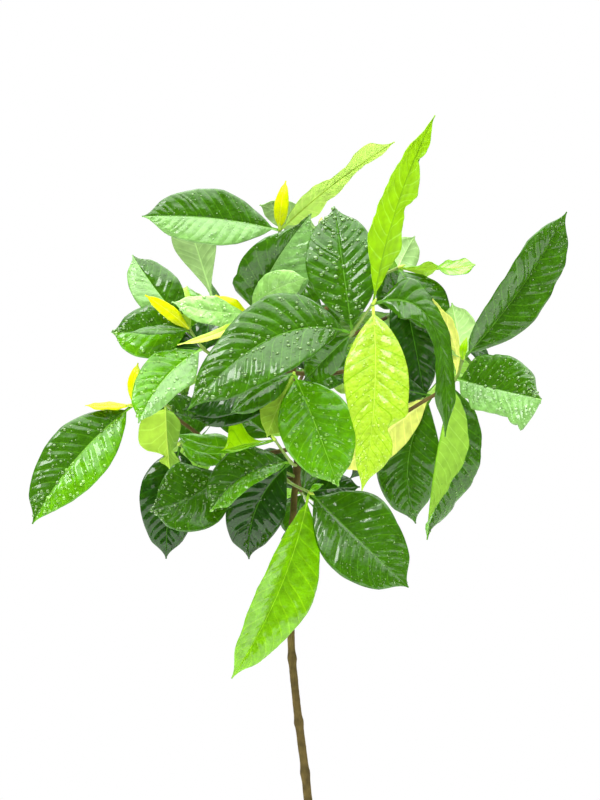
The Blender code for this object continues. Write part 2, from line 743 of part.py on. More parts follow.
def build_pot(group, cutters, paint):
    pot = add_object("pot", turned_mesh(pot_profile(), POT_STEPS), group, paint)
    for i in range(DRAIN_HOLES):
        angle = 2 * math.pi * (i + 0.5) / DRAIN_HOLES
        hole = bmesh.new()
        bmesh.ops.create_cone(hole, cap_ends=True, segments=16, radius1=DRAIN_RADIUS * MM,
                              radius2=DRAIN_RADIUS * MM, depth=4 * POT_FLOOR * MM)
        mesh = bpy.data.meshes.new("drain_hole")
        hole.to_mesh(mesh)
        hole.free()
        drill = add_object(f"drain_hole_{i + 1}", mesh, cutters)
        drill.location = (DRAIN_CIRCLE * math.cos(angle) * MM, DRAIN_CIRCLE * math.sin(angle) * MM, 0)
        drill.hide_render = True
        drill.display_type = "WIRE"
        cut = pot.modifiers.new(f"Drain {i + 1}", "BOOLEAN")
        cut.operation = "DIFFERENCE"
        cut.object = drill


def build_soil(group, paint):
    """The potting mix, GAP clear of the pot's floor and wall, with its top a little dished."""
    floor, corner = POT_FLOOR + GAP, POT_FLOOR + 6 + GAP
    profile = [
        (0, SOIL_LEVEL),
        (30, SOIL_LEVEL),
        (inner_radius(SOIL_LEVEL) - 14, SOIL_LEVEL - 1),
        (inner_radius(SOIL_LEVEL - 5) - 1.5, SOIL_LEVEL - 5),
        (inner_radius(corner) - 1.5, corner),
        (inner_radius(corner) - 7.5, floor),
        (0, floor),
    ]
    return add_object("soil", turned_mesh(profile, SOIL_STEPS), group, paint)


def build_stem(group, cutters, paint):
    line = stem_line()
    add_object("stem", tube_mesh(line, [stem_radius(p.z) for p in line], STEM_SIDES), group, paint)
    wider = tube_mesh(line, [stem_radius(p.z) + GAP for p in line], STEM_SIDES)
    cutter = add_object("stem_clearance", wider, cutters)
    cutter.hide_render = True
    cutter.display_type = "WIRE"
    return cutter


def build_boughs(group, cutter, paint):
    for name in [*BOUGHS, *BACK_BOUGHS]:
        line = bough_line(name)
        shown = name if name in BOUGHS else f"{name}_bough"
        mesh = tube_mesh(line, taper(line, BOUGH_RADIUS, BOUGH_TIP_RADIUS))
        add_object(shown, cut_clear(mesh, cutter), group, paint)


def build_sprays(group, cutter, paint, plan):
    for name, spray in plan.items():
        nodes = twig_line(spray)
        line = smooth_way(nodes, LIMB_STEP)
        twig = tube_mesh(line, taper(line, TWIG_RADIUS, TWIG_TIP_RADIUS))
        leaves = [
            leaf_mesh(shape, Vector(spray["twig"][shape["node"]])) for shape in spray["leaves"]
        ]
        mesh = join(twig, leaves)
        if spray["limb"] == "stem":
            mesh = cut_clear(mesh, cutter)
        add_object(name, mesh, group, paint)


def main():
    clear_scene()
    group = new_collection("potted_standard_gardenia")
    cutters = new_collection("cutters")
    bark = material("young bark", (0.19, 0.12, 0.07), 0.7)
    foliage = material("gardenia leaf", (0.05, 0.16, 0.02), 0.35)
    build_pot(group, cutters, material("fired clay", (0.52, 0.22, 0.12), 0.8))
    build_soil(group, material("potting mix", (0.05, 0.032, 0.022), 0.95))
    cutter = build_stem(group, cutters, bark)
    build_boughs(group, cutter, bark)
    build_sprays(group, cutter, foliage, plan_crown())


main()
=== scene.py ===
"""The looks of a potted standard gardenia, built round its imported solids: the same leaves on the
same twigs, with their ribs, quilted skin and rain drops, and the bark, pot and potting mix.

Metres, +Z up, the crown's best side facing -Y. Sizes are written in millimetres and scaled once,
by MM.
"""

import math
import random

import bmesh
import bpy
from mathutils import Matrix, Vector, noise
from mathutils.bvhtree import BVHTree


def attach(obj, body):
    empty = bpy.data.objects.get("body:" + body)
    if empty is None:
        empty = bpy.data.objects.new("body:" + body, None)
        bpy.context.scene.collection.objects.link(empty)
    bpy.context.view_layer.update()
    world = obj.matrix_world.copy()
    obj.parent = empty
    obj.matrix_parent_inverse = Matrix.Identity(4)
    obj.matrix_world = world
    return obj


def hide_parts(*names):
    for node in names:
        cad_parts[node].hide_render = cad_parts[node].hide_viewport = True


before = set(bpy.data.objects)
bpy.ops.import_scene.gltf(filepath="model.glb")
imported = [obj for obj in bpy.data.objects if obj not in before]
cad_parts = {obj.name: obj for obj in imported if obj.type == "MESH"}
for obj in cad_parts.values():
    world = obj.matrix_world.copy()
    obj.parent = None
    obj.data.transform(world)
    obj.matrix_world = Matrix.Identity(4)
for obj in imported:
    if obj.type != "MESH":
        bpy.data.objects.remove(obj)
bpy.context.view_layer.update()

MM = 0.001
GAP = 0.3
FRONT = Vector((0, -1, 0))
EYE = Vector((-19, -3000, 845))

# The pot and what fills it
POT_HEIGHT = 237
POT_RIM_RADIUS = 130
POT_FOOT_RADIUS = 94
POT_WALL = 8
POT_FLOOR = 12
RIM_BAND = 34
RIM_STEP = 7
SOIL_LEVEL = 215
DRAIN_HOLES = 4
DRAIN_RADIUS = 7
DRAIN_CIRCLE = 52

# The stem: its way up, and what a clipped pair of leaves leaves behind on it
STEM_WAY = [
    (0, 0, SOIL_LEVEL + GAP),
    (0, 0, 245),
    (-4, 2, 330),
    (-11, 0, 445),
    (-23, -2, 547),
    (-28, 0, 610),
    (-27, 2, 690),
    (-25, 0, 745),
    (-22, 0, 782),
    (-27, 6, 850),
    (-24, 4, 915),
    (-36, -8, 974),
]
STEM_FOOT_RADIUS = 5.2
STEM_TOP_RADIUS = 2.8
FLARE_RADIUS = 7.5
FLARE_HEIGHT = 9
KNOT_HEIGHTS = [300, 385, 472, 523, 587, 655, 722, 776]
KNOT_SWELL = 0.9
KNOT_REACH = 4.5
STEM_SIDES = 8

BOUGH_RADIUS = 2.3
BOUGH_TIP_RADIUS = 1.8
TWIG_RADIUS = 1.7
TWIG_TIP_RADIUS = 1.3
LIMB_STEP = 22

# Leaves
PETIOLE_SHARE = 0.06
PETIOLE_HALF_WIDTH = 1.5
TIP_HALF_WIDTH = 0.8
BASE_FULLNESS = 0.85
TIP_FULLNESS = 0.7
DRIP_START = 0.84
DRIP_DEPTH = 0.75
LEAF_THICKNESS_SHARE = 0.0105
LEAF_LEAST_THICKNESS = 1.1
YOUNG_LENGTH = 60
YOUNG_ROWS = 4
LEAF_ROWS = 6


def leaf(node, reach, width, **habit):
    """One leaf. node counts along its twig, reach runs from there to its tip, and width is its
    blade's. turn is how far its face tips up from the front, twist how far it winds on the way,
    arch and bow how far the midrib rises off its face and to the side, hook how much nearer to the
    root it bends, fold how far each half lifts, curl how far the margins roll back, wave how much
    they flutter, broad where it is widest, and age 0 for a leaf just open and 1 for a grown one.
    high and low are the shares of its usual width that its higher and lower halves have, evenly
    spread from root to tip."""
    usual = {"turn": 15, "twist": 0, "arch": 6, "bow": 0, "hook": 0, "fold": 12, "curl": 3,
             "wave": 1, "broad": 0.48, "age": 1.0, "high": (1, 1), "low": (1, 1)}
    return {"node": node, "reach": Vector(reach), "width": width, **usual, **habit}


# Each spray: the nodes along its twig from the limb that carries it, then its leaves
SPRAYS = {
    "front_spray": {
        "limb": "front_bough",
        "twig": [(31, -126, 909), (50, -152, 936)],
        "leaves": [
            leaf(0, (-157, -26, -74), 84, turn=22, arch=14, bow=25, hook=0.16, broad=0.5,
                 high=(1, 1.15, 1.15, 1.08, 0.93, 0.83, 0.73, 0.75, 1),
                 low=(1, 1.2, 1.1, 1, 1, 1, 1, 1, 1)),
            leaf(0, (-17, 34, 124), 72, turn=0, arch=8),
            leaf(1, (60, 30, 182), 58, turn=122, arch=-4, bow=21, wave=3, age=0.3,
                 high=(1, 1.2, 1.5, 1.45, 0.88, 0.87, 0.95, 0.9, 0.6, 0.35, 1),
                 low=(1, 1.5, 1.9, 2.2, 1.9, 1.4, 0.82, 0.64, 0.7, 1.15, 1.41, 1.04, 0.2, 0.58,
                      1, 1.5, 1)),
            leaf(1, (-11, -35, -176), 68, turn=12, bow=-8, age=0.35, broad=0.45,
                 high=(1, 1, 1, 0.9, 0.75, 0.55, 0.6, 1),
                 low=(1, 1, 1, 1, 1, 1, 1, 1, 1, 1.08, 0.47, 0.8, 1, 0.9, 0.8, 1)),
            leaf(1, (69, 2, -126), 60, turn=35, arch=30, bow=28, hook=0.4, age=0.6, broad=0.5,
                 high=(1, 1.5, 1.6, 1, 0.6, 0.5, 0.48, 0.48, 0.55, 0.9, 1),
                 low=(1, 1.4, 1.2, 0.9, 0.5, 0.3, 0.25, 0.3, 0.5, 0.9, 1)),
        ],
    },
    "right_spray": {
        "limb": "right_bough",
        "twig": [(134, -60, 866), (140, -62, 884)],
        "leaves": [
            leaf(1, (102, -4, 145), 68, turn=-25, fold=28, bow=-4,
                 high=(1, 1.5, 1.05, 0.88, 0.87, 0.92, 0.95, 0.85, 1),
                 low=(1, 1, 1, 0.95, 0.87, 0.87, 0.93, 0.9, 1)),
            leaf(0, (76, -95, -20), 80, turn=8, bow=-2, broad=0.5,
                 high=(2, 1.7, 1.1, 0.9, 0.85, 0.88, 0.88, 0.93, 1),
                 low=(1.3, 1.1, 0.62, 0.72, 0.62, 0.62, 0.75, 1.4, 6)),
            leaf(0, (-42, 20, 94), 28, turn=116, arch=16, hook=0.12, age=0.2),
            leaf(0, (-28, -4, -158), 90, turn=-67, fold=63, arch=-6, bow=-4, age=0.85, broad=0.4),
            leaf(1, (-7, 64, 58), 42, turn=170, age=0.3),
            leaf(1, (4, -5, 22), 8, age=0.0),
        ],
    },
    "low_spray": {
        "limb": "stem",
        "twig": [(-34, -8, 772), (-31, -14, 764), (-10, -38, 754)],
        "leaves": [
            leaf(2, (-76, -22, -182), 73, turn=-30, fold=30, bow=-8, age=0.5, broad=0.48,
                 high=(1, 1, 1, 1, 0.97, 0.93, 0.85, 0.85, 1),
                 low=(1, 1, 1, 1, 1, 0.93, 0.87, 0.87, 1)),
            leaf(2, (97, -34, -92), 80, turn=10, bow=-1, broad=0.49,
                 high=(1, 1.3, 1.3, 1.22, 1.1, 1, 1, 1, 1)),
            leaf(2, (14, -3, 8), 7, age=0.0),
        ],
    },
    "left_spray": {
        "limb": "left_bough",
        "twig": [(-150, -74, 840), (-181, -90, 840)],
        "leaves": [
            leaf(1, (-95, -30, -114), 64, turn=12, arch=3, bow=8, broad=0.45,
                 low=(1, 1, 1, 1, 1, 1, 0.92, 0.75, 1)),
            leaf(1, (-46, -8, 0), 22, turn=70, arch=0, age=0.1),
            leaf(1, (5, -2, 41), 13, age=0.0),
            leaf(0, (4, -8, -62), 62, turn=-150, fold=34, arch=2, age=0.6, broad=0.42,
                 high=(1, 1.3, 1.15, 1, 0.95, 0.93, 0.95, 0.85, 0.15, 1, 1),
                 low=(1, 1, 1.1, 0.95, 0.8, 0.7, 0.5, 0.2, 0.5, 1.2, 1)),
        ],
    },
    "upper_left_spray": {
        "limb": "upper_left_bough",
        "twig": [(-113, -84, 895), (-126, -84, 913)],
        "leaves": [
            leaf(0, (-60, -55, -72), 56, turn=12, bow=8, age=0.6,
                 high=(1, 1, 1, 0.95, 0.88, 0.87, 0.87, 0.9, 1),
                 low=(1, 1, 1, 0.95, 0.8, 0.72, 0.7, 0.7, 1)),
            leaf(1, (-57, 20, 74), 48, turn=15, bow=-4, age=0.7),
            leaf(1, (-76, -8, -2), 54, turn=12, bow=-3, age=0.8),
            leaf(1, (-42, -28, 33), 14, fold=20, age=0.0),
            leaf(0, (-57, 12, -2), 44, turn=20),
            leaf(1, (-56, -34, -3), 15, turn=50, bow=-4, age=0.5),
            leaf(1, (-4, 30, 44), 36, turn=30, age=0.9),
        ],
    },
    "top_spray": {
        "limb": "stem",
        "twig": [(-39, -30, 1013)],
        "leaves": [
            leaf(0, (-135, -30, 12), 62, turn=22, bow=3),
            leaf(0, (6, -2, 49), 15, age=0.0, broad=0.4),
            leaf(0, (113, -20, 86), 44, turn=140, age=0.55, broad=0.42,
                 high=(1, 0.8, 0.75, 0.62, 0.35, 0.45, 0.95, 1.55, 1),
                 low=(1, 1.2, 1.05, 0.52, 0.57, 0.3, 0.2, 0.55, 1)),
        ],
    },
    "crown_front_spray": {
        "limb": "stem",
        "twig": [(-68, -52, 930)],
        "leaves": [
            leaf(0, (60, -36, 96), 80, turn=8, bow=4, broad=0.43,
                 high=(1.5, 1.4, 0.9, 0.8, 0.7, 0.6, 0.38, 0.17, 0.5)),
            leaf(0, (56, -58, 32), 36, turn=12, bow=6, age=0.4),
            leaf(0, (-68, -80, -32), 11, turn=30, bow=-10, age=0.0),
            leaf(0, (-75, -46, 10), 34, turn=30, arch=4, bow=-6, age=0.5),
            leaf(0, (-34, -6, 18), 18, turn=20, bow=-5, fold=20, age=0.0),
        ],
    },
    "right_back_spray": {
        "limb": "right_back_bough",
        "twig": [(80, 20, 978)],
        "leaves": [
            leaf(0, (77, -10, 3), 62, turn=90, twist=84, arch=-3, wave=3, age=0.5, broad=0.6),
            leaf(0, (18, 40, 34), 34, turn=170, age=0.4),
            leaf(0, (50, -22, -66), 50, turn=15, bow=-3),
            leaf(0, (27, -10, -134), 46, turn=5),
        ],
    },
    "low_right_spray": {
        "limb": "low_right_bough",
        "twig": [(113, 0, 849)],
        "leaves": [
            leaf(0, (-92, -46, -74), 46, turn=175, age=0.6),
            leaf(0, (-16, 8, -128), 66, turn=5, bow=15),
            leaf(0, (-82, 30, -84), 40, turn=-15),
        ],
    },
    "centre_spray": {
        "limb": "stem",
        "twig": [(-25, -80, 871)],
        "leaves": [
            leaf(0, (43, -20, -110), 76, turn=12, age=0.8, broad=0.45),
            leaf(0, (-26, -26, -62), 36, turn=165, age=0.7),
            leaf(0, (-108, 4, -36), 52, turn=25),
            leaf(0, (-101, 18, -44), 50, turn=15, bow=-3),
            leaf(0, (-62, -24, -40), 32, turn=30, curl=6, age=0.7),
        ],
    },
    "inner_left_spray": {
        "limb": "stem",
        "twig": [(-28, -14, 783), (-44, -45, 806)],
        "leaves": [
            leaf(1, (-51, -34, -10), 30, turn=10, fold=20, age=0.1, broad=0.74,
                 high=(0.4, 0.4, 0.4, 0.5, 0.9, 2.2, 2, 0.7, 0.5), low=(0.3, 0.3)),
            leaf(1, (-98, -8, 7), 19, turn=30, bow=-16, age=0.3, broad=0.7,
                 high=(1, 1, 1.2, 1.6, 2, 1.8, 1.1, 1, 1)),
            leaf(0, (-80, -35, -48), 58, turn=18, arch=10, bow=10, fold=28, wave=2,
                 low=(1, 0.6, 0.55, 0.6, 1)),
            leaf(0, (-42, 10, -97), 60, turn=5, bow=13),
        ],
    },
    "low_left_spray": {
        "limb": "low_left_bough",
        "twig": [(-94, 0, 776), (-139, 6, 800)],
        "leaves": [
            leaf(0, (-74, -30, -40), 75, turn=12, bow=-10),
            leaf(1, (44, -12, -18), 30, turn=25, age=0.6),
            leaf(1, (-14, -4, -114), 62, turn=5, bow=3, broad=0.4),
        ],
    },
}

# Each bough: how high on the stem it starts, a point on its way, and its tip
BOUGHS = {
    "front_bough": (845, (-2, -65, 880), (22, -112, 900)),
    "right_bough": (788, (60, -50, 820), (118, -58, 853)),
    "left_bough": (797, (-85, -8, 790), (-142, -46, 828)),
    "upper_left_bough": (872, (-65, -45, 882), (-100, -72, 888)),
    "low_left_bough": (766, (-55, 8, 766), (-80, 4, 772)),
    "low_right_bough": (801, (50, 22, 820), (98, 6, 842)),
    "right_back_bough": (912, (25, 32, 950), (66, 24, 972)),
}

# The boughs at the sides and behind, which the front shows only through its gaps: how high on the
# stem each starts, its tip, and the last node of its twig
BACK_BOUGHS = {
    "top_back": (940, (-10, 78, 995), (2, 118, 1030)),
    "high_right_back": (895, (70, 100, 930), (98, 140, 950)),
    "low_right_back": (812, (72, 108, 822), (104, 148, 818)),
    "high_left_back": (905, (-96, 82, 938), (-132, 110, 958)),
    "low_left_back": (822, (-98, 88, 822), (-136, 120, 816)),
    "middle_back": (858, (-16, 118, 872), (-14, 170, 880)),
    "low_back": (784, (-18, 62, 752), (-12, 104, 742)),
    "right_side": (872, (58, 44, 884), (98, 62, 900)),
    "left_side": (856, (-86, 34, 858), (-128, 52, 866)),
}
BACK_LEAVES = {
    "top_back": [
        leaf(0, (-12, -28, -74), 50, turn=10),
        leaf(2, (-60, -16, 24), 30, turn=168, age=0.6),
    ],
    "high_right_back": [leaf(0, (-8, -40, 44), 44, turn=20)],
    "high_left_back": [
        leaf(0, (-30, -14, 96), 46, turn=176, age=0.7, broad=0.66),
        leaf(0, (-8, -26, -50), 38, turn=10),
    ],
    "low_left_back": [leaf(0, (-64, -54, 16), 44, turn=15)],
    "middle_back": [leaf(0, (58, -56, 4), 50, turn=20), leaf(0, (34, -44, 72), 46, turn=25)],
    "low_back": [
        leaf(0, (-12, -16, -44), 34, turn=-10, bow=4),
        leaf(0, (58, -26, 8), 34, turn=20),
        leaf(0, (-50, -16, 44), 36, turn=15, broad=0.62),
        leaf(0, (12, -24, 52), 28, turn=15),
    ],
}
BACK_PAIRS = 4
BACK_LENGTHS = (150, 95)
BACK_WIDTH_SHARE = 0.42
BACK_SPREAD = 62
BACK_SPREAD_PLAY = 28
BACK_SPIN_PLAY = 40
BACK_DROOP = 0.35
HIDDEN_SHARE = 0.96
CORE_CENTRE = Vector((0, 0, 865))
CORE_RADIUS = 95
TOUCH_ROOM = 0.8
OWN_ROOM = 0.3
TRIES = 30
SEED = 7


def evaluated_mesh(thing):
    """The mesh of an object with its modifiers, or of a curve with its bevel."""
    graph = bpy.context.evaluated_depsgraph_get()
    graph.update()
    return bpy.data.meshes.new_from_object(thing.evaluated_get(graph))


def weld(mesh, distance=1e-6):
    shape = bmesh.new()
    shape.from_mesh(mesh)
    bmesh.ops.remove_doubles(shape, verts=shape.verts, dist=distance)
    bmesh.ops.recalc_face_normals(shape, faces=shape.faces)
    shape.to_mesh(mesh)
    shape.free()


def smooth_way(points, step):
    """A smooth line through points, with a point about every step, as Catmull and Rom draw it."""
    spots = [Vector(p) for p in points]
    spots = [2 * spots[0] - spots[1], *spots, 2 * spots[-1] - spots[-2]]
    line = []
    for a, b, c, d in zip(spots, spots[1:], spots[2:], spots[3:]):
        count = max(1, round((c - b).length / step))
        for i in range(count):
            t = i / count
            line.append(
                0.5 * (2 * b + (c - a) * t + (2 * a - 5 * b + 4 * c - d) * t**2
                       + (3 * b - a - 3 * c + d) * t**3)
            )
    return [*line, spots[-2]]


def tube_mesh(line, radii, sides=6):
    """A closed round tube along a line, in metres, from a bevelled curve with filled caps."""
    curve = bpy.data.curves.new("tube", "CURVE")
    curve.dimensions = "3D"
    curve.bevel_depth = MM
    curve.bevel_resolution = (sides - 4) // 2
    curve.use_fill_caps = True
    spline = curve.splines.new("POLY")
    spline.points.add(len(line) - 1)
    for point, place, radius in zip(spline.points, line, radii):
        point.co = (*(place * MM), 1)
        point.radius = radius
    holder = bpy.data.objects.new("tube", curve)
    bpy.context.scene.collection.objects.link(holder)
    mesh = evaluated_mesh(holder)
    bpy.data.objects.remove(holder)
    weld(mesh)
    return mesh


def stem_radius(height):
    """The stem's taper, with the root flare at its foot and a knot where each pair of leaves was."""
    bottom, top = STEM_WAY[0][2], STEM_WAY[-1][2]
    share = (height - bottom) / (top - bottom)
    radius = STEM_TOP_RADIUS + (STEM_FOOT_RADIUS - STEM_TOP_RADIUS) * (1 - share) ** 1.3
    radius += FLARE_RADIUS * math.exp(-(height - bottom) / FLARE_HEIGHT)
    for knot in KNOT_HEIGHTS:
        radius += KNOT_SWELL * math.exp(-(((height - knot) / KNOT_REACH) ** 2))
    return radius


def stem_line():
    """The stem's middle line, with close points at the flare and the knots."""
    line = smooth_way(STEM_WAY, 2)
    kept = [line[0]]
    for place in line[1:-1]:
        near_knot = min(abs(place.z - knot) for knot in KNOT_HEIGHTS) < 1.5 * KNOT_REACH
        near_foot = place.z < STEM_WAY[0][2] + 3 * FLARE_HEIGHT
        step = 4 if near_knot else 6 if near_foot else LIMB_STEP
        if (place - kept[-1]).length >= step:
            kept.append(place)
    return [*kept, line[-1]]


def on_stem(height):
    """The stem's middle at a height."""
    line = stem_line()
    for low, high in zip(line, line[1:]):
        if low.z <= height <= high.z:
            return low.lerp(high, (height - low.z) / (high.z - low.z))
    return line[-1]


def taper(line, first, last):
    return [first + (last - first) * i / (len(line) - 1) for i in range(len(line))]


def bough_line(name):
    start, way, tip = {**BOUGHS, **BACK_BOUGHS}[name]
    if name in BACK_BOUGHS:
        tip, way = Vector(way), Vector(way).lerp(on_stem(start), 0.5) + Vector((0, 0, -6))
    return smooth_way([on_stem(start), way, tip], LIMB_STEP)


def twig_line(spray):
    """The twig that starts where its limb ends, GAP clear and in line with it, or inside the stem
    where the stem itself carries it."""
    limb, nodes = spray["limb"], [Vector(p) for p in spray["twig"]]
    if limb != "stem":
        line = bough_line(limb)
        along = (line[-1] - line[-2]).normalized()
        return [line[-1] + GAP * along, line[-1] + 4 * along, *nodes]
    top = Vector(STEM_WAY[-1])
    if nodes[0].z > top.z:
        along = (stem_line()[-1] - stem_line()[-2]).normalized()
        return [top + GAP * along, top + 4 * along, *nodes]
    return [on_stem(nodes[0].z - 4), *nodes]


def half_width(shape, share):
    """Half the blade's width at a share of the way from the leaf's root to its tip."""
    if share <= PETIOLE_SHARE:
        return PETIOLE_HALF_WIDTH
    along = min(1.0, (share - PETIOLE_SHARE) / (1 - PETIOLE_SHARE))
    bend = math.log(0.5) / math.log(shape["broad"])
    full = BASE_FULLNESS if along < shape["broad"] else TIP_FULLNESS
    blade = max(0.0, math.sin(math.pi * along**bend)) ** full
    drip = max(0.0, (along - DRIP_START) / (1 - DRIP_START))
    blade *= 1 - DRIP_DEPTH * drip * drip * (3 - 2 * drip)
    least = PETIOLE_HALF_WIDTH + (TIP_HALF_WIDTH - PETIOLE_HALF_WIDTH) * along
    return max(least, shape["width"] / 2 * blade)


def row_shares(rows):
    """Where the rows of a leaf's grid lie: its root, then closer together at both ends."""
    blade = [0.5 - 0.5 * math.cos(math.pi * i / (rows - 1)) for i in range(rows)]
    return [0.0] + [PETIOLE_SHARE + (1 - PETIOLE_SHARE) * along for along in blade]


def face_of(shape):
    """The way that the leaf's upper face looks, square to its reach."""
    along = shape["reach"].normalized()
    front = (FRONT - along * FRONT.dot(along)).normalized()
    up = along.cross(front)
    if up.z < 0:
        up = -up
    turn = math.radians(shape["turn"])
    return front * math.cos(turn) + up * math.sin(turn)


def trimmed(factors, share):
    """The share of its usual width that one half of a leaf has at a share of its length."""
    place = min(max(share, 0.0), 0.9999) * (len(factors) - 1)
    first, second = factors[int(place) : int(place) + 2]
    return first + (second - first) * (place % 1)


def leaf_point(shape, root, across, share):
    """A point of the blade: across runs from -1 to 1 between its margins, share from root to tip."""
    reach, face = shape["reach"], face_of(shape)
    side = reach.normalized().cross(face)
    if side.z < 0:
        bow_way = -side
    else:
        bow_way = side
    half = shape["high"] if (across > 0) == (side.z >= 0) else shape["low"]
    middle = reach * (0.5 - shape["hook"]) + 2 * shape["arch"] * face + 2 * shape["bow"] * bow_way
    spot = 2 * share * (1 - share) * middle + share**2 * reach
    ahead = (2 * (1 - 2 * share) * middle + 2 * share * reach).normalized()
    face = Matrix.Rotation(math.radians(shape["twist"]) * (share - 0.5), 3, ahead) @ face
    face = (face - ahead * face.dot(ahead)).normalized()
    side = ahead.cross(face)
    wide, out = half_width(shape, share) * trimmed(half, share), abs(across)
    ease = min(1, wide / 15)
    fold = math.radians(shape["fold"]) * ease * (1 - share**4)
    lift = wide * out * math.sin(fold) - shape["curl"] * out**3 * ease
    lift += shape["wave"] * out**2 * math.sin(5 * math.pi * share + across) * ease
    return root + spot + side * across * wide * math.cos(fold) + face * lift


def leaf_mesh(shape, root, extra=0.0, from_share=0.0):
    """The solid of one leaf: a grid laid along the midrib, then given its thickness. extra makes it
    thicker, and from_share leaves out the stretch next to the twig."""
    length = shape["reach"].length
    shares = row_shares(YOUNG_ROWS if length < YOUNG_LENGTH else LEAF_ROWS)
    rows = len(shares) - 1
    solid = bmesh.new()
    bmesh.ops.create_grid(solid, x_segments=2, y_segments=rows, size=1)
    for vert in solid.verts:
        share = shares[round((vert.co.y + 1) / 2 * rows)]
        vert.co = leaf_point(shape, root, vert.co.x, share) * MM
    near = [v for v in solid.verts if (v.co / MM - root).length < from_share * length]
    bmesh.ops.delete(solid, geom=near, context="VERTS")
    thickness = max(LEAF_LEAST_THICKNESS, length * LEAF_THICKNESS_SHARE) + extra
    bmesh.ops.recalc_face_normals(solid, faces=solid.faces)
    bmesh.ops.solidify(solid, geom=solid.faces[:], thickness=thickness * MM)
    bmesh.ops.recalc_face_normals(solid, faces=solid.faces)
    bmesh.ops.triangulate(solid, faces=solid.faces)
    mesh = bpy.data.meshes.new("leaf")
    solid.to_mesh(mesh)
    solid.free()
    return mesh


def tree_of(mesh):
    shape = bmesh.new()
    shape.from_mesh(mesh)
    tree = BVHTree.FromBMesh(shape)
    shape.free()
    return tree


class Space:
    """What the leaves must keep clear of: the limbs, and the leaves placed before."""

    def __init__(self):
        self.solids = []

    def add(self, owner, mesh):
        self.solids.append((owner, tree_of(mesh)))

    def touched(self, owner, shape, root):
        """The owners of the solids that a leaf would touch. By its twig it may touch its own kind."""
        tree = tree_of(leaf_mesh(shape, root, extra=TOUCH_ROOM))
        outer = tree_of(leaf_mesh(shape, root, extra=TOUCH_ROOM, from_share=OWN_ROOM))
        return sorted({
            o for o, solid in self.solids if (outer if o == owner else tree).overlap(solid)
        })

    def hidden(self, shape, root):
        """The share of a leaf that lies behind others, or behind the crown's close middle."""
        spots = [leaf_point(shape, root, u, t / 8) for u in (-0.9, 0, 0.9) for t in range(2, 9)]
        behind = 0
        for spot in spots:
            way = (EYE - spot).normalized()
            start = (spot + 3 * way) * MM
            middle = spot - CORE_CENTRE
            in_core = math.hypot(middle.x, middle.z) < CORE_RADIUS
            behind += in_core or any(solid.ray_cast(start, way)[0] for _, solid in self.solids)
        return behind / len(spots)


def back_leaves(name, twig, space, draw):
    """Opposite pairs along a twig, each pair at right angles to the last. A leaf that would touch
    another spray or a limb, or close a gap of the crown, is turned a few times, then skipped."""
    made = []
    for pair in range(BACK_PAIRS):
        node = len(twig) - BACK_PAIRS + pair
        length = BACK_LENGTHS[0] + (BACK_LENGTHS[1] - BACK_LENGTHS[0]) * pair / (BACK_PAIRS - 1)
        along = (twig[-1] - twig[-2]).normalized()
        square = along.orthogonal().normalized()
        for side in (0, 180):
            for _ in range(TRIES):
                spread = math.radians(BACK_SPREAD + BACK_SPREAD_PLAY * draw.uniform(-1, 1))
                spin = math.radians(90 * pair + side + BACK_SPIN_PLAY * draw.uniform(-1, 1))
                out = Matrix.Rotation(spin, 3, along) @ square
                reach = along * math.cos(spread) + out * math.sin(spread)
                reach.z -= BACK_DROOP * draw.uniform(0.3, 1)
                reach = reach.normalized() * length * draw.uniform(0.85, 1.1)
                shape = leaf(node, reach, length * BACK_WIDTH_SHARE, fold=draw.uniform(6, 22),
                             arch=draw.uniform(5, 16), age=draw.uniform(0.7, 1.0))
                shape["turn"] = draw.uniform(60, 100) if reach.y < 0 else draw.uniform(95, 150)
                root = twig[node]
                if space.hidden(shape, root) < HIDDEN_SHARE:
                    continue
                if not space.touched(name, shape, root):
                    made.append(shape)
                    space.add(name, leaf_mesh(shape, root))
                    break
    return made


def back_spray(name):
    """The twig of a bough behind: straight on from the bough, with its nodes spread evenly."""
    tip, last = Vector(BACK_BOUGHS[name][1]), Vector(BACK_BOUGHS[name][2])
    nodes = [tip.lerp(last, (i + 1.5) / (BACK_PAIRS + 0.5)) for i in range(BACK_PAIRS)]
    return {"limb": name, "twig": [tuple(n) for n in nodes], "leaves": BACK_LEAVES.get(name, [])}


def plan_crown():
    """Every spray with its leaves, the front ones as set above and those behind by rule."""
    space, draw = Space(), random.Random(SEED)
    line = stem_line()
    space.add("stem", tube_mesh(line, [stem_radius(p.z) for p in line], STEM_SIDES))
    for name in [*BOUGHS, *BACK_BOUGHS]:
        line = bough_line(name)
        space.add(name, tube_mesh(line, taper(line, BOUGH_RADIUS, BOUGH_TIP_RADIUS)))
    plan = dict(SPRAYS)
    behind = {f"{name}_spray": back_spray(name) for name in BACK_BOUGHS}
    for name, spray in [*SPRAYS.items(), *behind.items()]:
        for shape in spray["leaves"]:
            space.add(name, leaf_mesh(shape, Vector(spray["twig"][shape["node"]])))
    for name in BACK_BOUGHS:
        spray = behind[f"{name}_spray"]
        twig = twig_line(spray)
        grown = back_leaves(f"{name}_spray", twig, space, draw)
        for shape in grown:
            shape["node"] -= len(twig) - len(spray["twig"])
        spray["leaves"] = [*spray["leaves"], *grown]
        plan[f"{name}_spray"] = spray
    return plan


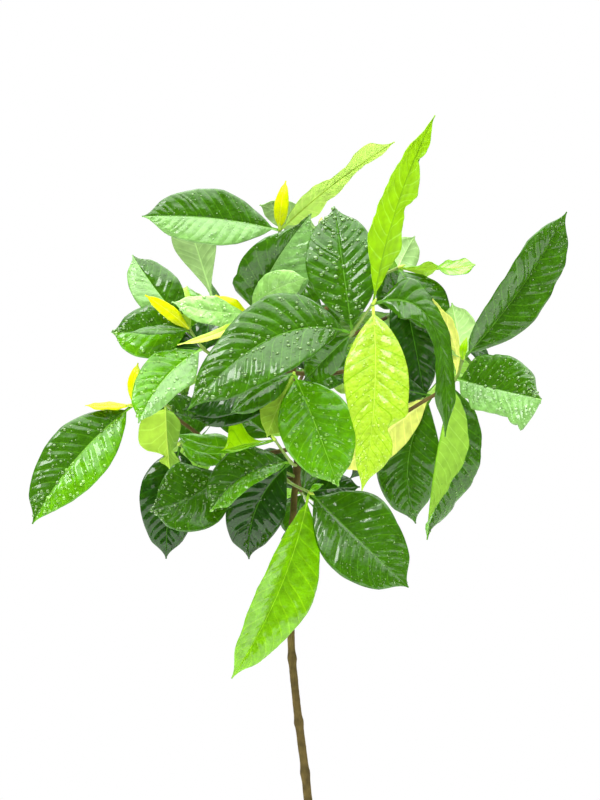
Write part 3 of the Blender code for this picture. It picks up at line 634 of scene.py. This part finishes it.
def pot_profile():
    """Outer side from the rim down, under the foot, and back up the inside."""
    band_foot = POT_HEIGHT - RIM_BAND
    body_top = POT_RIM_RADIUS - RIM_STEP
    slope = (POT_RIM_RADIUS - POT_FOOT_RADIUS) / POT_HEIGHT
    inner_top = body_top - POT_WALL
    inner_foot = POT_FOOT_RADIUS - POT_WALL
    return [
        (inner_top, POT_HEIGHT - 2),
        (inner_top + 2, POT_HEIGHT),
        (POT_RIM_RADIUS - 3, POT_HEIGHT),
        (POT_RIM_RADIUS, POT_HEIGHT - 3),
        (POT_RIM_RADIUS - 2, band_foot + 2),
        (POT_RIM_RADIUS - 4, band_foot),
        (POT_RIM_RADIUS - RIM_STEP - slope * RIM_BAND, band_foot - 1),
        (POT_FOOT_RADIUS + 1, 4),
        (POT_FOOT_RADIUS - 2, 0),
        (0, 0),
        (0, POT_FLOOR),
        (inner_foot - 6, POT_FLOOR),
        (inner_foot, POT_FLOOR + 6),
        (inner_top, POT_HEIGHT - 2),
    ]


def inner_radius(height):
    """The pot's inside radius at a height above its floor's round corner."""
    bottom, top = POT_FLOOR + 6, POT_HEIGHT - 2
    inner_top = POT_RIM_RADIUS - RIM_STEP - POT_WALL
    inner_foot = POT_FOOT_RADIUS - POT_WALL
    return inner_foot + (inner_top - inner_foot) * (height - bottom) / (top - bottom)


# The tones of a leaf: its upper skin, the side ribs in it, its underside, and its midrib
TONES = {
    "deep": ((26, 66, 0), (36, 82, 4), (118, 168, 52), (70, 124, 24)),
    "dark": ((50, 98, 0), (66, 118, 8), (130, 180, 60), (86, 140, 32)),
    "green": ((82, 146, 0), (100, 164, 12), (134, 178, 60), (128, 186, 44)),
    "fresh": ((108, 168, 0), (126, 184, 6), (160, 206, 50), (160, 214, 40)),
    "lime": ((142, 198, 0), (122, 180, 0), (140, 194, 4), (120, 172, 4)),
    "light": ((150, 188, 40), (126, 174, 10), (200, 238, 110), (172, 208, 64)),
    "yellow": ((200, 214, 0), (190, 206, 0), (214, 224, 8), (220, 228, 50)),
    "cream": ((210, 216, 96), (196, 208, 80), (214, 220, 110), (226, 232, 130)),
    "pale": ((156, 196, 56), (146, 188, 48), (166, 204, 66), (190, 220, 90)),
    # mint: the pale colour of undersides turned to the front; on crown_front leaves 1 and 3 it is
    # painted sheen, a base lightened for the bright sky their wet skin reflects
    "mint": ((142, 192, 100), (156, 204, 116), (140, 174, 106), (166, 206, 126)),
    # sheen: painted sheen, a whitish green base colour that stands in for the bright sky reflected in
    # a leaf half tipped up
    "sheen": ((116, 164, 84), (126, 174, 96), (130, 168, 90), (150, 196, 110)),
}

# How each leaf of the listed sprays looks, in the order of its spray: its tone, or the tones
# of its higher and of its lower half, and the kind of rain drops on it
# Where a leaf's halves differ, the tones are partly painted light: the sheen, mint or paler green
# tone on a lower half is painted sheen, the bright sky reflected where that half tips up. Other pairs
# give each half its own colour, as an underside beside an upper skin.
LOOKS = {
    "front_spray": ["dark 2", "dark 3", "lime", "light 1", "dark"],
    "right_spray": ["dark/dark 1", "dark/sheen 2", "cream", "green/dark 1", "mint/sheen", "lime"],
    "low_spray": ["fresh", "dark 1", "green"],
    "left_spray": ["dark/green 2", "yellow", "yellow", "pale/green"],
    "upper_left_spray": ["green/sheen 2", "dark/sheen 1", "dark/green 2", "yellow", "deep",
                         "dark", "pale/green"],
    "top_spray": ["dark/sheen 1", "yellow", "light"],
    "crown_front_spray": ["dark/sheen 1", "mint 1", "pale/cream", "mint 2", "yellow"],
    "right_back_spray": ["fresh", "mint", "dark 2", "deep"],
    "low_right_spray": ["cream", "dark 1", "deep"],
    "centre_spray": ["green 2", "pale", "deep", "deep", "dark 1"],
    "inner_left_spray": ["lime/fresh", "green", "dark/green 2", "deep 1"],
    "low_left_spray": ["dark 2", "green", "deep"],
    "top_back_spray": ["dark", "mint"],
    "high_left_back_spray": ["mint", "deep"],
}
# Leaves deep inside the crown, each added to a spray
INNER_LEAVES = {
    "inner_left_spray": (1, (-62, 38, 46), 50),
    "crown_front_spray": (0, (72, 30, -54), 38),
    "low_right_spray": (0, (-94, 0, 16), 38),
    "front_spray": (0, (-46, 50, -46), 34),
}
BACK_LOOKS = ["deep", "dark", "dark 1", "dark", "green", "dark 2"]

# A leaf's fine form
LEAF_COLUMNS = [0.08, 0.18, 0.29, 0.4, 0.51, 0.62, 0.73, 0.83, 0.92, 1.0]
YOUNG_COLUMNS = [0.3, 0.65, 1.0]
RIB_SPACING = 10.5
RIB_SHARE = 0.1
FIRST_RIB = 0.085
LAST_RIB = 0.94
RIB_SLANT = 0.36
RIB_STAGGER = 0.45
QUILT = 1.1
PUCKER = 1.3
MIDRIB_HALF = 0.65
MIDRIB_DEPTH = 0.35
SKIN = 0.45

# Rain drops: the least and greatest radius of each kind, and how many to a square centimetre
DROPS = {"1": (0.6, 1.2, 3.0), "2": (0.8, 2.2, 3.4), "3": (0.9, 2.9, 3.4)}
DROP_HEIGHT = 0.5
# From this radius on, a drop is one of the large ones, which are rounder
LARGE_DROP = 0.9

# The wood, the pot and the potting mix
STEM_ROUND = 20
BOUGH_ROUND = 14
TWIG_ROUND = 10
BARK_STEP = 2.5
NODE_SWELL = 0.7
POT_TURNS = 96
SOIL_TURNS = 72
CHIPS = 260
# How wide the blisters of a crinkled leaf are
BLISTER_SIZE = 5


def tone(colour):
    """A colour as a paint chart gives it, from 0 to 255, in the linear values a shader takes."""
    shares = [value / 255 for value in colour]
    return [s / 12.92 if s <= 0.04045 else ((s + 0.055) / 1.055) ** 2.4 for s in shares]


def finish(name, colour, roughness, patch=14, spread=0.2, grain=0.5, relief=0.25, blister=0,
           **more):
    """A material whose colour drifts a little from patch to patch, with a fine grain in relief.
    patch and grain are the sizes of the two patterns in mm, and relief is the grain's depth.
    blister is the depth in mm of a coarser relief under the grain, as of a crinkled leaf."""
    paint = bpy.data.materials.new(name)
    paint.use_nodes = True
    nodes, links = paint.node_tree.nodes, paint.node_tree.links
    shader = nodes["Principled BSDF"]
    place = nodes.new("ShaderNodeTexCoord")
    blotch = nodes.new("ShaderNodeTexNoise")
    blotch.inputs["Scale"].default_value = 1000 / patch
    blotch.inputs["Detail"].default_value = 3
    links.new(place.outputs["Object"], blotch.inputs["Vector"])
    shades = nodes.new("ShaderNodeValToRGB")
    low, high = shades.color_ramp.elements
    low.position, high.position = 0.3, 0.7
    low.color = (*[c * (1 - spread) for c in tone(colour)], 1)
    high.color = (*[min(1, c * (1 + spread)) for c in tone(colour)], 1)
    links.new(blotch.outputs["Fac"], shades.inputs["Fac"])
    links.new(shades.outputs["Color"], shader.inputs["Base Color"])
    rough = nodes.new("ShaderNodeMapRange")
    rough.inputs["To Min"].default_value = max(0.02, roughness - 0.07)
    rough.inputs["To Max"].default_value = min(1, roughness + 0.07)
    links.new(blotch.outputs["Fac"], rough.inputs["Value"])
    links.new(rough.outputs["Result"], shader.inputs["Roughness"])
    if relief:
        fine = nodes.new("ShaderNodeTexNoise")
        fine.inputs["Scale"].default_value = 1000 / grain
        fine.inputs["Detail"].default_value = 2
        links.new(place.outputs["Object"], fine.inputs["Vector"])
        bump = nodes.new("ShaderNodeBump")
        bump.inputs["Strength"].default_value = relief
        bump.inputs["Distance"].default_value = grain * MM
        links.new(fine.outputs["Fac"], bump.inputs["Height"])
        links.new(bump.outputs["Normal"], shader.inputs["Normal"])
    if blister:
        swell = nodes.new("ShaderNodeTexNoise")
        swell.inputs["Scale"].default_value = 1000 / BLISTER_SIZE
        swell.inputs["Detail"].default_value = 1
        links.new(place.outputs["Object"], swell.inputs["Vector"])
        wrinkle = nodes.new("ShaderNodeBump")
        wrinkle.inputs["Distance"].default_value = blister * MM
        links.new(swell.outputs["Fac"], wrinkle.inputs["Height"])
        links.new(wrinkle.outputs["Normal"], bump.inputs["Normal"])
    for setting, value in more.items():
        shader.inputs[setting.replace("_", " ")].default_value = value
    return paint


def leaf_paints():
    """The materials of every tone."""
    paints = {}
    for name, (skin, rib, under, midrib) in TONES.items():
        young = name in ("lime", "light", "yellow", "cream", "pale")
        gloss = {"Specular_IOR_Level": 0.08, "Coat_Weight": 0.15 if young else 0.6,
                 "Coat_Roughness": 0.07}
        drift, crinkle = (0.12, 0.4) if young else (0.2, 1.6)
        if name == "light":
            crinkle, gloss["Coat_Weight"] = 3, 0.4
        paints[name] = {
            "skin": finish(f"{name} leaf skin", skin, 0.3, 9, drift, 3, 0.1, crinkle, **gloss),
            "rib": finish(f"{name} side rib", rib, 0.3, 9, drift, 3, 0.1, 0.6, **gloss),
            "midrib": finish(f"{name} midrib", midrib, 0.4, 9, 0.15, 3, 0,
                             Specular_IOR_Level=0.2),
            "under": finish(f"{name} underside", under, 0.55, 9, 0.15, 3, 0,
                            Specular_IOR_Level=0.1),
            "under_rib": finish(f"{name} underside rib", [c * 1.07 for c in under], 0.5, 9, 0.15,
                                3, 0),
        }
    return paints


def piece(name, shape, paints, slot, *nodes):
    """Makes an object of a bmesh, which it uses up, riding the plant in place of some nodes."""
    for face in shape.faces:
        face.smooth = True
    mesh = bpy.data.meshes.new(name)
    shape.to_mesh(mesh)
    shape.free()
    for paint in paints:
        mesh.materials.append(paint)
    made = bpy.data.objects.new(name, mesh)
    bpy.context.scene.collection.objects.link(made)
    if slot:
        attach(made, "root")
    if nodes:
        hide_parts(*nodes)
    return made


def take_in(whole, part):
    """Adds a bmesh to another, and uses it up."""
    mesh = bpy.data.meshes.new("part")
    part.to_mesh(mesh)
    part.free()
    whole.from_mesh(mesh)
    bpy.data.meshes.remove(mesh)


# Leaves

def rib_count(shape):
    return max(5, min(14, round(shape["reach"].length / RIB_SPACING)))


def rib_rows(shape):
    """Where the rows across a leaf leave the midrib, and what the strip beyond each one is."""
    gap = (LAST_RIB - FIRST_RIB) / rib_count(shape)
    rows = [(0.0, "midrib"), (PETIOLE_SHARE / 2, "midrib"), (PETIOLE_SHARE, "skin")]
    for i in range(rib_count(shape)):
        start = FIRST_RIB + i * gap
        rows += [(start, "rib"), (start + RIB_SHARE * gap, "skin"), (start + 0.43 * gap, "skin"),
                 (start + 0.72 * gap, "skin")]
    return rows + [(LAST_RIB, "skin"), (0.965, "skin"), (0.985, "skin"), (1.0, "skin")]


def puffed(shape, share):
    """How far the skin stands up, from 0 on a side rib to 1 midway between two."""
    if not FIRST_RIB < share < LAST_RIB:
        return 0.0
    place = (share - FIRST_RIB) / (LAST_RIB - FIRST_RIB) * rib_count(shape) % 1
    return math.sin(math.pi * max(0.0, place - RIB_SHARE) / (1 - RIB_SHARE))


def skin_point(shape, root, across, share):
    """A point of the upper skin. share is where the side rib through it leaves the midrib: ribs
    slant towards the tip, a little unevenly and not paired with those across the midrib, the skin
    between them stands up and puckers, and the margin flutters a little."""
    along, out = max(0.0, (share - PETIOLE_SHARE) / (1 - PETIOLE_SHARE)), abs(across)
    hump, ribs, phase = 4 * along * (1 - along), rib_count(shape), shape["phase"]
    slant = RIB_SLANT * shape["width"] / shape["reach"].length * out**1.2
    step = min(1, 8 * out) / ribs
    drift = noise.noise(Vector((share * ribs * 0.8, phase, 4 if across < 0 else 9)))
    stagger = RIB_STAGGER if across < 0 else 0
    reached = share + hump * min(0.23, slant + step * (stagger + 0.5 * drift))
    size = min(1.0, shape["reach"].length / 120, half_width(shape, reached) / 14)
    lift = QUILT * size * (0.45 + 0.55 * shape["age"]) * puffed(shape, share)
    lift *= min(1, 5 * out) * (1 - 0.75 * out**4)
    spot = Vector((across * shape["width"] / 12, reached * shape["reach"].length / 7, phase * 5))
    lift += PUCKER * size * noise.noise(spot) * hump * min(1, 5 * out)
    lift += 0.6 * size * math.sin(38 * reached + phase + 2 * across) * out**3
    face = face_of(shape)
    if shape["twist"]:
        ahead = shape["reach"].normalized()
        face = Matrix.Rotation(math.radians(shape["twist"]) * (reached - 0.5), 3, ahead) @ face
    if reached < PETIOLE_SHARE:
        lift = 0
    return leaf_point(shape, root, across, reached) + lift * face


def fine_leaf(leaves, shape, root, paints, slots):
    """Adds one leaf to a bmesh: its blade with a sunken midrib, side ribs and quilted skin, given
    its thickness downwards, so that the new faces are its underside."""
    steps = YOUNG_COLUMNS if shape["reach"].length < YOUNG_LENGTH else LEAF_COLUMNS
    rows, columns = rib_rows(shape), len(steps) + 1
    higher, lower = (shape["look"].split()[0].split("/") * 2)[:2]
    side = shape["reach"].cross(face_of(shape))
    size = min(1.0, shape["reach"].length / 120)
    blade = bmesh.new()
    bmesh.ops.create_grid(blade, x_segments=2 * columns, y_segments=len(rows) - 1, size=1)
    unders = []
    for face in blade.faces:
        spot = face.calc_center_median()
        kind = rows[int((spot.y + 1) / 2 * (len(rows) - 1))][1]
        if abs(spot.x) * columns < 1:
            kind = "midrib"
        # Each half takes its own tone: a paler lower half is painted sheen, the bright sky reflected
        # where that half tips up
        of_tone = paints[higher if (spot.x > 0) == (side.z > 0) else lower]
        under = of_tone[{"midrib": "midrib", "rib": "under_rib", "skin": "under"}[kind]]
        for paint in (of_tone[kind], under):
            if paint not in slots:
                slots.append(paint)
        face.material_index = slots.index(of_tone[kind])
        unders.append(slots.index(under))
    for vert in blade.verts:
        column, out = vert.co.x * columns, round(abs(vert.co.x) * columns)
        share = rows[round((vert.co.y + 1) / 2 * (len(rows) - 1))][0]
        rib = MIDRIB_HALF * (0.4 + 0.6 * size) * (1.1 - 0.8 * share)
        rib = min(0.55, rib / half_width(shape, share))
        across = 0 if out == 0 else rib if out == 1 else rib + (1 - rib) * steps[out - 2]
        spot = skin_point(shape, root, math.copysign(across, column), share)
        if out == 0 and share > PETIOLE_SHARE:
            spot -= MIDRIB_DEPTH * size * face_of(shape)
        vert.co = spot * MM
    blade.normal_update()
    front = blade.faces[:]
    made = bmesh.ops.solidify(blade, geom=front, thickness=SKIN * MM)["geom"]
    for face, under in zip([f for f in made if isinstance(f, bmesh.types.BMFace)], unders):
        face.material_index = under
    bmesh.ops.recalc_face_normals(blade, faces=blade.faces)
    take_in(leaves, blade)


def rain_drops(drops, shape, root, tones, draw):
    """Adds the rain drops that lie on a leaf to the large and the small ones: flat beads, few large
    and many small, painted with the skin colour of the half they lie on, lightened. This colour is
    painted light: the leaf seen through the water, brighter for the lit drop."""
    least, most, density = DROPS[shape["look"].split()[1]]
    higher, lower = (shape["look"].split()[0].split("/") * 2)[:2]
    side = shape["reach"].cross(face_of(shape))
    beads = {size: bmesh.new() for size in drops}
    area = 0.6 * shape["reach"].length * shape["width"] / 100
    for _ in range(round(area * density)):
        across, share = draw.uniform(-0.9, 0.9), draw.uniform(0.1, 0.93)
        spot = skin_point(shape, root, across, share)
        ahead = skin_point(shape, root, across, share + 0.01) - spot
        aside = skin_point(shape, root, across + 0.05, share) - spot
        up = aside.cross(ahead).normalized()
        radius = least + (most - least) * draw.random() ** 3
        turned = up.to_track_quat("Z", "Y").to_matrix().to_4x4()
        flat = Matrix.Diagonal((1, draw.uniform(0.8, 1), DROP_HEIGHT, 1))
        place = Matrix.Translation((spot + 0.1 * radius * up) * MM) @ turned @ flat
        if radius > LARGE_DROP:
            new = bmesh.ops.create_uvsphere(beads["large"], u_segments=8, v_segments=5,
                                            radius=radius * MM, matrix=place)
        else:
            new = bmesh.ops.create_icosphere(beads["small"], subdivisions=1, radius=radius * MM,
                                             matrix=place)
        tone_here = higher if (across > 0) == (side.z > 0) else lower
        for face in {face for vert in new["verts"] for face in vert.link_faces}:
            face.material_index = tones.index(tone_here)
    for size, some in beads.items():
        take_in(drops[size], some)


def build_leaves(plan, paints, draw):
    drops, tones = {"large": bmesh.new(), "small": bmesh.new()}, list(TONES)
    for name, spray in plan.items():
        leaves, slots, looks = bmesh.new(), [], LOOKS.get(name, [])
        for i, shape in enumerate(spray["leaves"]):
            shape["look"] = looks[i] if i < len(looks) else draw.choice(BACK_LOOKS)
            shape["phase"] = draw.uniform(0, 6)
            root = Vector(spray["twig"][shape["node"]])
            fine_leaf(leaves, shape, root, paints, slots)
            if " " in shape["look"]:
                rain_drops(drops, shape, root, tones, draw)
        piece(f"{name}_leaves", leaves, slots, "foliage", name)
    # Each drop's paint is its leaf's skin colour lightened: painted light, in place of the leaf seen
    # through clear water and the brightness of the lit drop
    wet = [finish(f"rain drop on {name} leaf", [c * 0.9 + 34 for c in TONES[name][0]], 0.15,
                  patch=2, relief=0.05, Coat_Weight=1.0, Coat_Roughness=0.05) for name in tones]
    for size, some in drops.items():
        piece(f"{size}_rain_drops", some, wet, "foliage")


# Wood

def bark_tube(wood, line, radii, sides, relief, number=0):
    """Adds a closed round limb along a line to a bmesh: a grid wrapped round it, with long low
    ridges and small warts in its bark, and its ends filled."""
    tube = bmesh.new()
    rings = len(line) - 1
    bmesh.ops.create_grid(tube, x_segments=sides, y_segments=rings, size=1)
    frames, aside = [], Vector((1, 0, 0))
    for i in range(len(line)):
        ahead = (line[min(i + 1, rings)] - line[max(i - 1, 0)]).normalized()
        aside = (aside - ahead * aside.dot(ahead)).normalized()
        frames.append((aside, ahead.cross(aside)))
    for vert in tube.verts:
        i = round((vert.co.y + 1) / 2 * rings)
        angle = math.pi * round((vert.co.x + 1) / 2 * sides) * 2 / sides
        x, y = math.cos(angle), math.sin(angle)
        rough = noise.noise(Vector((2 * x, 2 * y, line[i].length / 16)))
        rough += 0.6 * noise.noise(Vector((5 * x, 5 * y, line[i].length / 4)))
        radius = radii[i] * (1 + relief * rough)
        vert.co = (line[i] + radius * (x * frames[i][0] + y * frames[i][1])) * MM
    bmesh.ops.remove_doubles(tube, verts=tube.verts, dist=1e-7)
    bmesh.ops.holes_fill(tube, edges=[e for e in tube.edges if e.is_boundary])
    bmesh.ops.recalc_face_normals(tube, faces=tube.faces)
    for face in tube.faces:
        face.material_index = number
    take_in(wood, tube)


def build_wood(plan):
    wood, limbs = bmesh.new(), ["stem"]
    line = smooth_way(STEM_WAY, BARK_STEP)
    bark_tube(wood, line, [stem_radius(p.z) for p in line], STEM_ROUND, 0.09)
    for name in [*BOUGHS, *BACK_BOUGHS]:
        line = smooth_way(bough_line(name), BARK_STEP)
        bark_tube(wood, line, taper(line, BOUGH_RADIUS, BOUGH_TIP_RADIUS), BOUGH_ROUND, 0.07)
        limbs.append(name if name in BOUGHS else f"{name}_bough")
    bark = finish("young bark", (86, 74, 40), 0.8, patch=9, spread=0.35, grain=1.2, relief=0.6,
                  Specular_IOR_Level=0.1)
    piece("stem_and_boughs", wood, [bark], "bark", *limbs)
    twigs = bmesh.new()
    for spray in plan.values():
        line = smooth_way(twig_line(spray), BARK_STEP)
        radii = taper(line, TWIG_RADIUS, TWIG_TIP_RADIUS)
        for node in spray["twig"]:
            for i, place in enumerate(line):
                radii[i] += NODE_SWELL * math.exp(-((((place - Vector(node)).length) / 2.5) ** 2))
        bark_tube(twigs, line, radii, TWIG_ROUND, 0.05)
        ahead = (line[-1] - line[-2]).normalized()
        bud = [line[-1] + t * ahead for t in (-1, 0, 2, 4, 6, 7.5, 8.5)]
        bark_tube(twigs, bud, [1.3, 1.5, 1.7, 1.6, 1.1, 0.6, 0.15], TWIG_ROUND, 0.0, 1)
    green = finish("green twig", (112, 140, 52), 0.5, patch=8, spread=0.25)
    bud = finish("leaf bud", (176, 204, 60), 0.45, patch=4)
    piece("twigs", twigs, [green, bud], "foliage")


# The pot and its filling

def rounded(profile, radius=1.5, steps=3):
    """A profile with its corners rounded off, except its first and last points."""
    points = [Vector((x, 0, z)) for x, z in profile]
    line = [points[0]]
    for before, corner, after in zip(points, points[1:], points[2:]):
        back, on = before - corner, after - corner
        start = corner + back.normalized() * min(radius, back.length * 0.45)
        stop = corner + on.normalized() * min(radius, on.length * 0.45)
        for i in range(steps + 1):
            t = i / steps
            line.append((1 - t) ** 2 * start + 2 * t * (1 - t) * corner + t**2 * stop)
    return [*line, points[-1]]


def turned(profile, steps):
    """A bmesh of a profile in mm turned round Z."""
    outline = bmesh.new()
    verts = [outline.verts.new(p * MM) for p in profile]
    edges = [outline.edges.new(pair) for pair in zip(verts, verts[1:])]
    bmesh.ops.spin(outline, geom=[*verts, *edges], cent=(0, 0, 0), axis=(0, 0, 1), dvec=(0, 0, 0),
                   angle=2 * math.pi, steps=steps, use_merge=True)
    bmesh.ops.remove_doubles(outline, verts=outline.verts, dist=1e-6)
    bmesh.ops.recalc_face_normals(outline, faces=outline.faces)
    return outline


def build_pot():
    band_foot = POT_HEIGHT - RIM_BAND
    line = rounded(pot_profile())
    dense = [line[0]]
    for a, b in zip(line, line[1:]):
        count = max(1, round((b - a).length / 3))
        dense += [a.lerp(b, (i + 1) / count) for i in range(count)]
    for p in dense:
        if 6 < p.z < band_foot - 4 and p.x > POT_FOOT_RADIUS:
            p.x += 0.22 * math.sin(p.z * 1.15) + 0.15 * math.sin(p.z * 0.37)
    shape = turned(dense[:-1] + [line[0]], POT_TURNS)
    clay = finish("fired clay", (148, 82, 56), 0.85, patch=22, spread=0.12, grain=0.8, relief=0.4,
                  Specular_IOR_Level=0.15)
    pot = piece("clay_pot", shape, [clay], "clay", "pot")
    drills = []
    for i in range(DRAIN_HOLES):
        angle = 2 * math.pi * (i + 0.5) / DRAIN_HOLES
        place = Vector((DRAIN_CIRCLE * math.cos(angle), DRAIN_CIRCLE * math.sin(angle), 0)) * MM
        hole = bmesh.new()
        bmesh.ops.create_cone(hole, cap_ends=True, segments=24, radius1=DRAIN_RADIUS * MM,
                              radius2=DRAIN_RADIUS * MM, depth=4 * POT_FLOOR * MM,
                              matrix=Matrix.Translation(place))
        drills.append(piece(f"drain_drill_{i + 1}", hole, [clay], None))
        cut = pot.modifiers.new(f"Drain {i + 1}", "BOOLEAN")
        cut.operation = "DIFFERENCE"
        cut.object = drills[-1]
    bored = evaluated_mesh(pot)
    pot.modifiers.clear()
    pot.data = bored
    for drill in drills:
        bpy.data.objects.remove(drill)


def build_soil(draw):
    """The potting mix with its uneven top, and the bark chips and grit that lie on it."""
    floor, corner = POT_FLOOR + GAP, POT_FLOOR + 6 + GAP
    edge = inner_radius(SOIL_LEVEL - 5) - 1.5
    profile = [Vector((x, 0, SOIL_LEVEL - 0.3)) for x in range(0, round(edge) - 12, 4)]
    profile += [Vector((edge - 12, 0, SOIL_LEVEL - 1)), Vector((edge - 6, 0, SOIL_LEVEL - 2)),
                Vector((edge - 1, 0, SOIL_LEVEL - 5)), Vector((edge, 0, SOIL_LEVEL - 7)),
                Vector((inner_radius(corner) - 1.5, 0, corner)),
                Vector((inner_radius(corner) - 7.5, 0, floor)), Vector((0, 0, floor))]
    shape = turned(profile, SOIL_TURNS)
    for vert in shape.verts:
        far = math.hypot(vert.co.x, vert.co.y) / MM
        if vert.co.z > (SOIL_LEVEL - 6) * MM:
            rough = noise.noise(vert.co * 90) + 0.7 * noise.noise(vert.co * 260)
            vert.co.z += 1.8 * MM * rough * min(1, max(0, far - 12) / 10)
    mix = finish("potting mix", (62, 46, 34), 0.95, patch=5, spread=0.5, grain=2, relief=0.8)
    piece("potting_mix", shape, [mix], "potting_mix", "soil")
    chips = bmesh.new()
    for i in range(CHIPS):
        angle, far = draw.uniform(0, 2 * math.pi), 15 + (edge - 20) * math.sqrt(draw.random())
        spot = Vector((far * math.cos(angle), far * math.sin(angle), SOIL_LEVEL + 0.2))
        turn = Matrix.Rotation(draw.uniform(0, math.pi), 4, "Z") @ Matrix.Rotation(
            draw.uniform(-0.3, 0.3), 4, "X")
        size = Matrix.Diagonal((draw.uniform(2, 6), draw.uniform(1.5, 3), draw.uniform(0.8, 1.6), 1))
        new = bmesh.ops.create_icosphere(chips, subdivisions=1, radius=MM,
                                         matrix=Matrix.Translation(spot * MM) @ turn @ size)
        for vert in new["verts"]:
            vert.co += 0.5 * MM * noise.noise_vector(vert.co * 700)
        for face in {f for vert in new["verts"] for f in vert.link_faces}:
            face.material_index = i % 3
    barks = [finish(f"bark chip {i + 1}", colour, 0.9, patch=3, spread=0.3)
             for i, colour in enumerate([(86, 58, 38), (58, 42, 30), (150, 138, 122)])]
    piece("bark_chips", chips, barks, "potting_mix")


# The studio

def build_studio():
    floor = bmesh.new()
    bmesh.ops.create_circle(floor, cap_ends=True, segments=96, radius=3.2)
    pale = finish("pale floor", (236, 236, 234), 0.8, patch=400, spread=0.02, grain=4, relief=0.05)
    ground = piece("studio_floor", floor, [pale], None)
    bpy.context.scene.view_settings.view_transform = "Standard"
    world = bpy.data.worlds.new("studio")
    bpy.context.scene.world = world
    world.use_nodes = True
    nodes, links = world.node_tree.nodes, world.node_tree.links
    glow = nodes["Background"]
    path = nodes.new("ShaderNodeLightPath")
    place = nodes.new("ShaderNodeTexCoord")
    split = nodes.new("ShaderNodeSeparateXYZ")
    height = nodes.new("ShaderNodeMapRange")
    height.interpolation_type = "SMOOTHSTEP"
    height.inputs["From Min"].default_value = 0.45
    height.inputs["From Max"].default_value = 0.88
    height.inputs["To Min"].default_value = 0.15
    height.inputs["To Max"].default_value = 5.5
    links.new(place.outputs["Generated"], split.inputs["Vector"])
    links.new(split.outputs["Z"], height.inputs["Value"])
    white = nodes.new("ShaderNodeMix")
    white.data_type = "FLOAT"
    links.new(path.outputs["Is Camera Ray"], white.inputs["Factor"])
    links.new(height.outputs["Result"], white.inputs["A"])
    white.inputs["B"].default_value = 1.0
    links.new(white.outputs["Result"], glow.inputs["Strength"])
    glow.inputs["Color"].default_value = (1, 1, 1, 1)
    for name, place, size, power in [
        ("key", (-1.5, -2.0, 2.9), 1.0, 40),
        ("fill", (2.2, -1.8, 1.3), 1.4, 4),
    ]:
        lamp = bpy.data.lights.new(name, "AREA")
        lamp.shape = "DISK"
        lamp.size = size
        lamp.energy = power
        made = bpy.data.objects.new(name, lamp)
        bpy.context.scene.collection.objects.link(made)
        made.location = place
        aim = Vector((0, 0, 0.85)) - Vector(place)
        made.rotation_euler = aim.to_track_quat("-Z", "Y").to_euler()


def build_camera():
    lens = bpy.data.cameras.new("camera")
    lens.sensor_width = 36
    lens.lens = 135
    camera = bpy.data.objects.new("camera", lens)
    bpy.context.scene.collection.objects.link(camera)
    camera.location = EYE * MM
    camera.rotation_euler = (math.pi / 2, 0, 0)
    bpy.context.scene.camera = camera


plan = plan_crown()
for name, (node, reach, width) in INNER_LEAVES.items():
    plan[name]["leaves"].append(leaf(node, reach, width, turn=10))
chance = random.Random(SEED)
build_leaves(plan, leaf_paints(), chance)
build_wood(plan)
build_pot()
build_soil(chance)
build_studio()
build_camera()
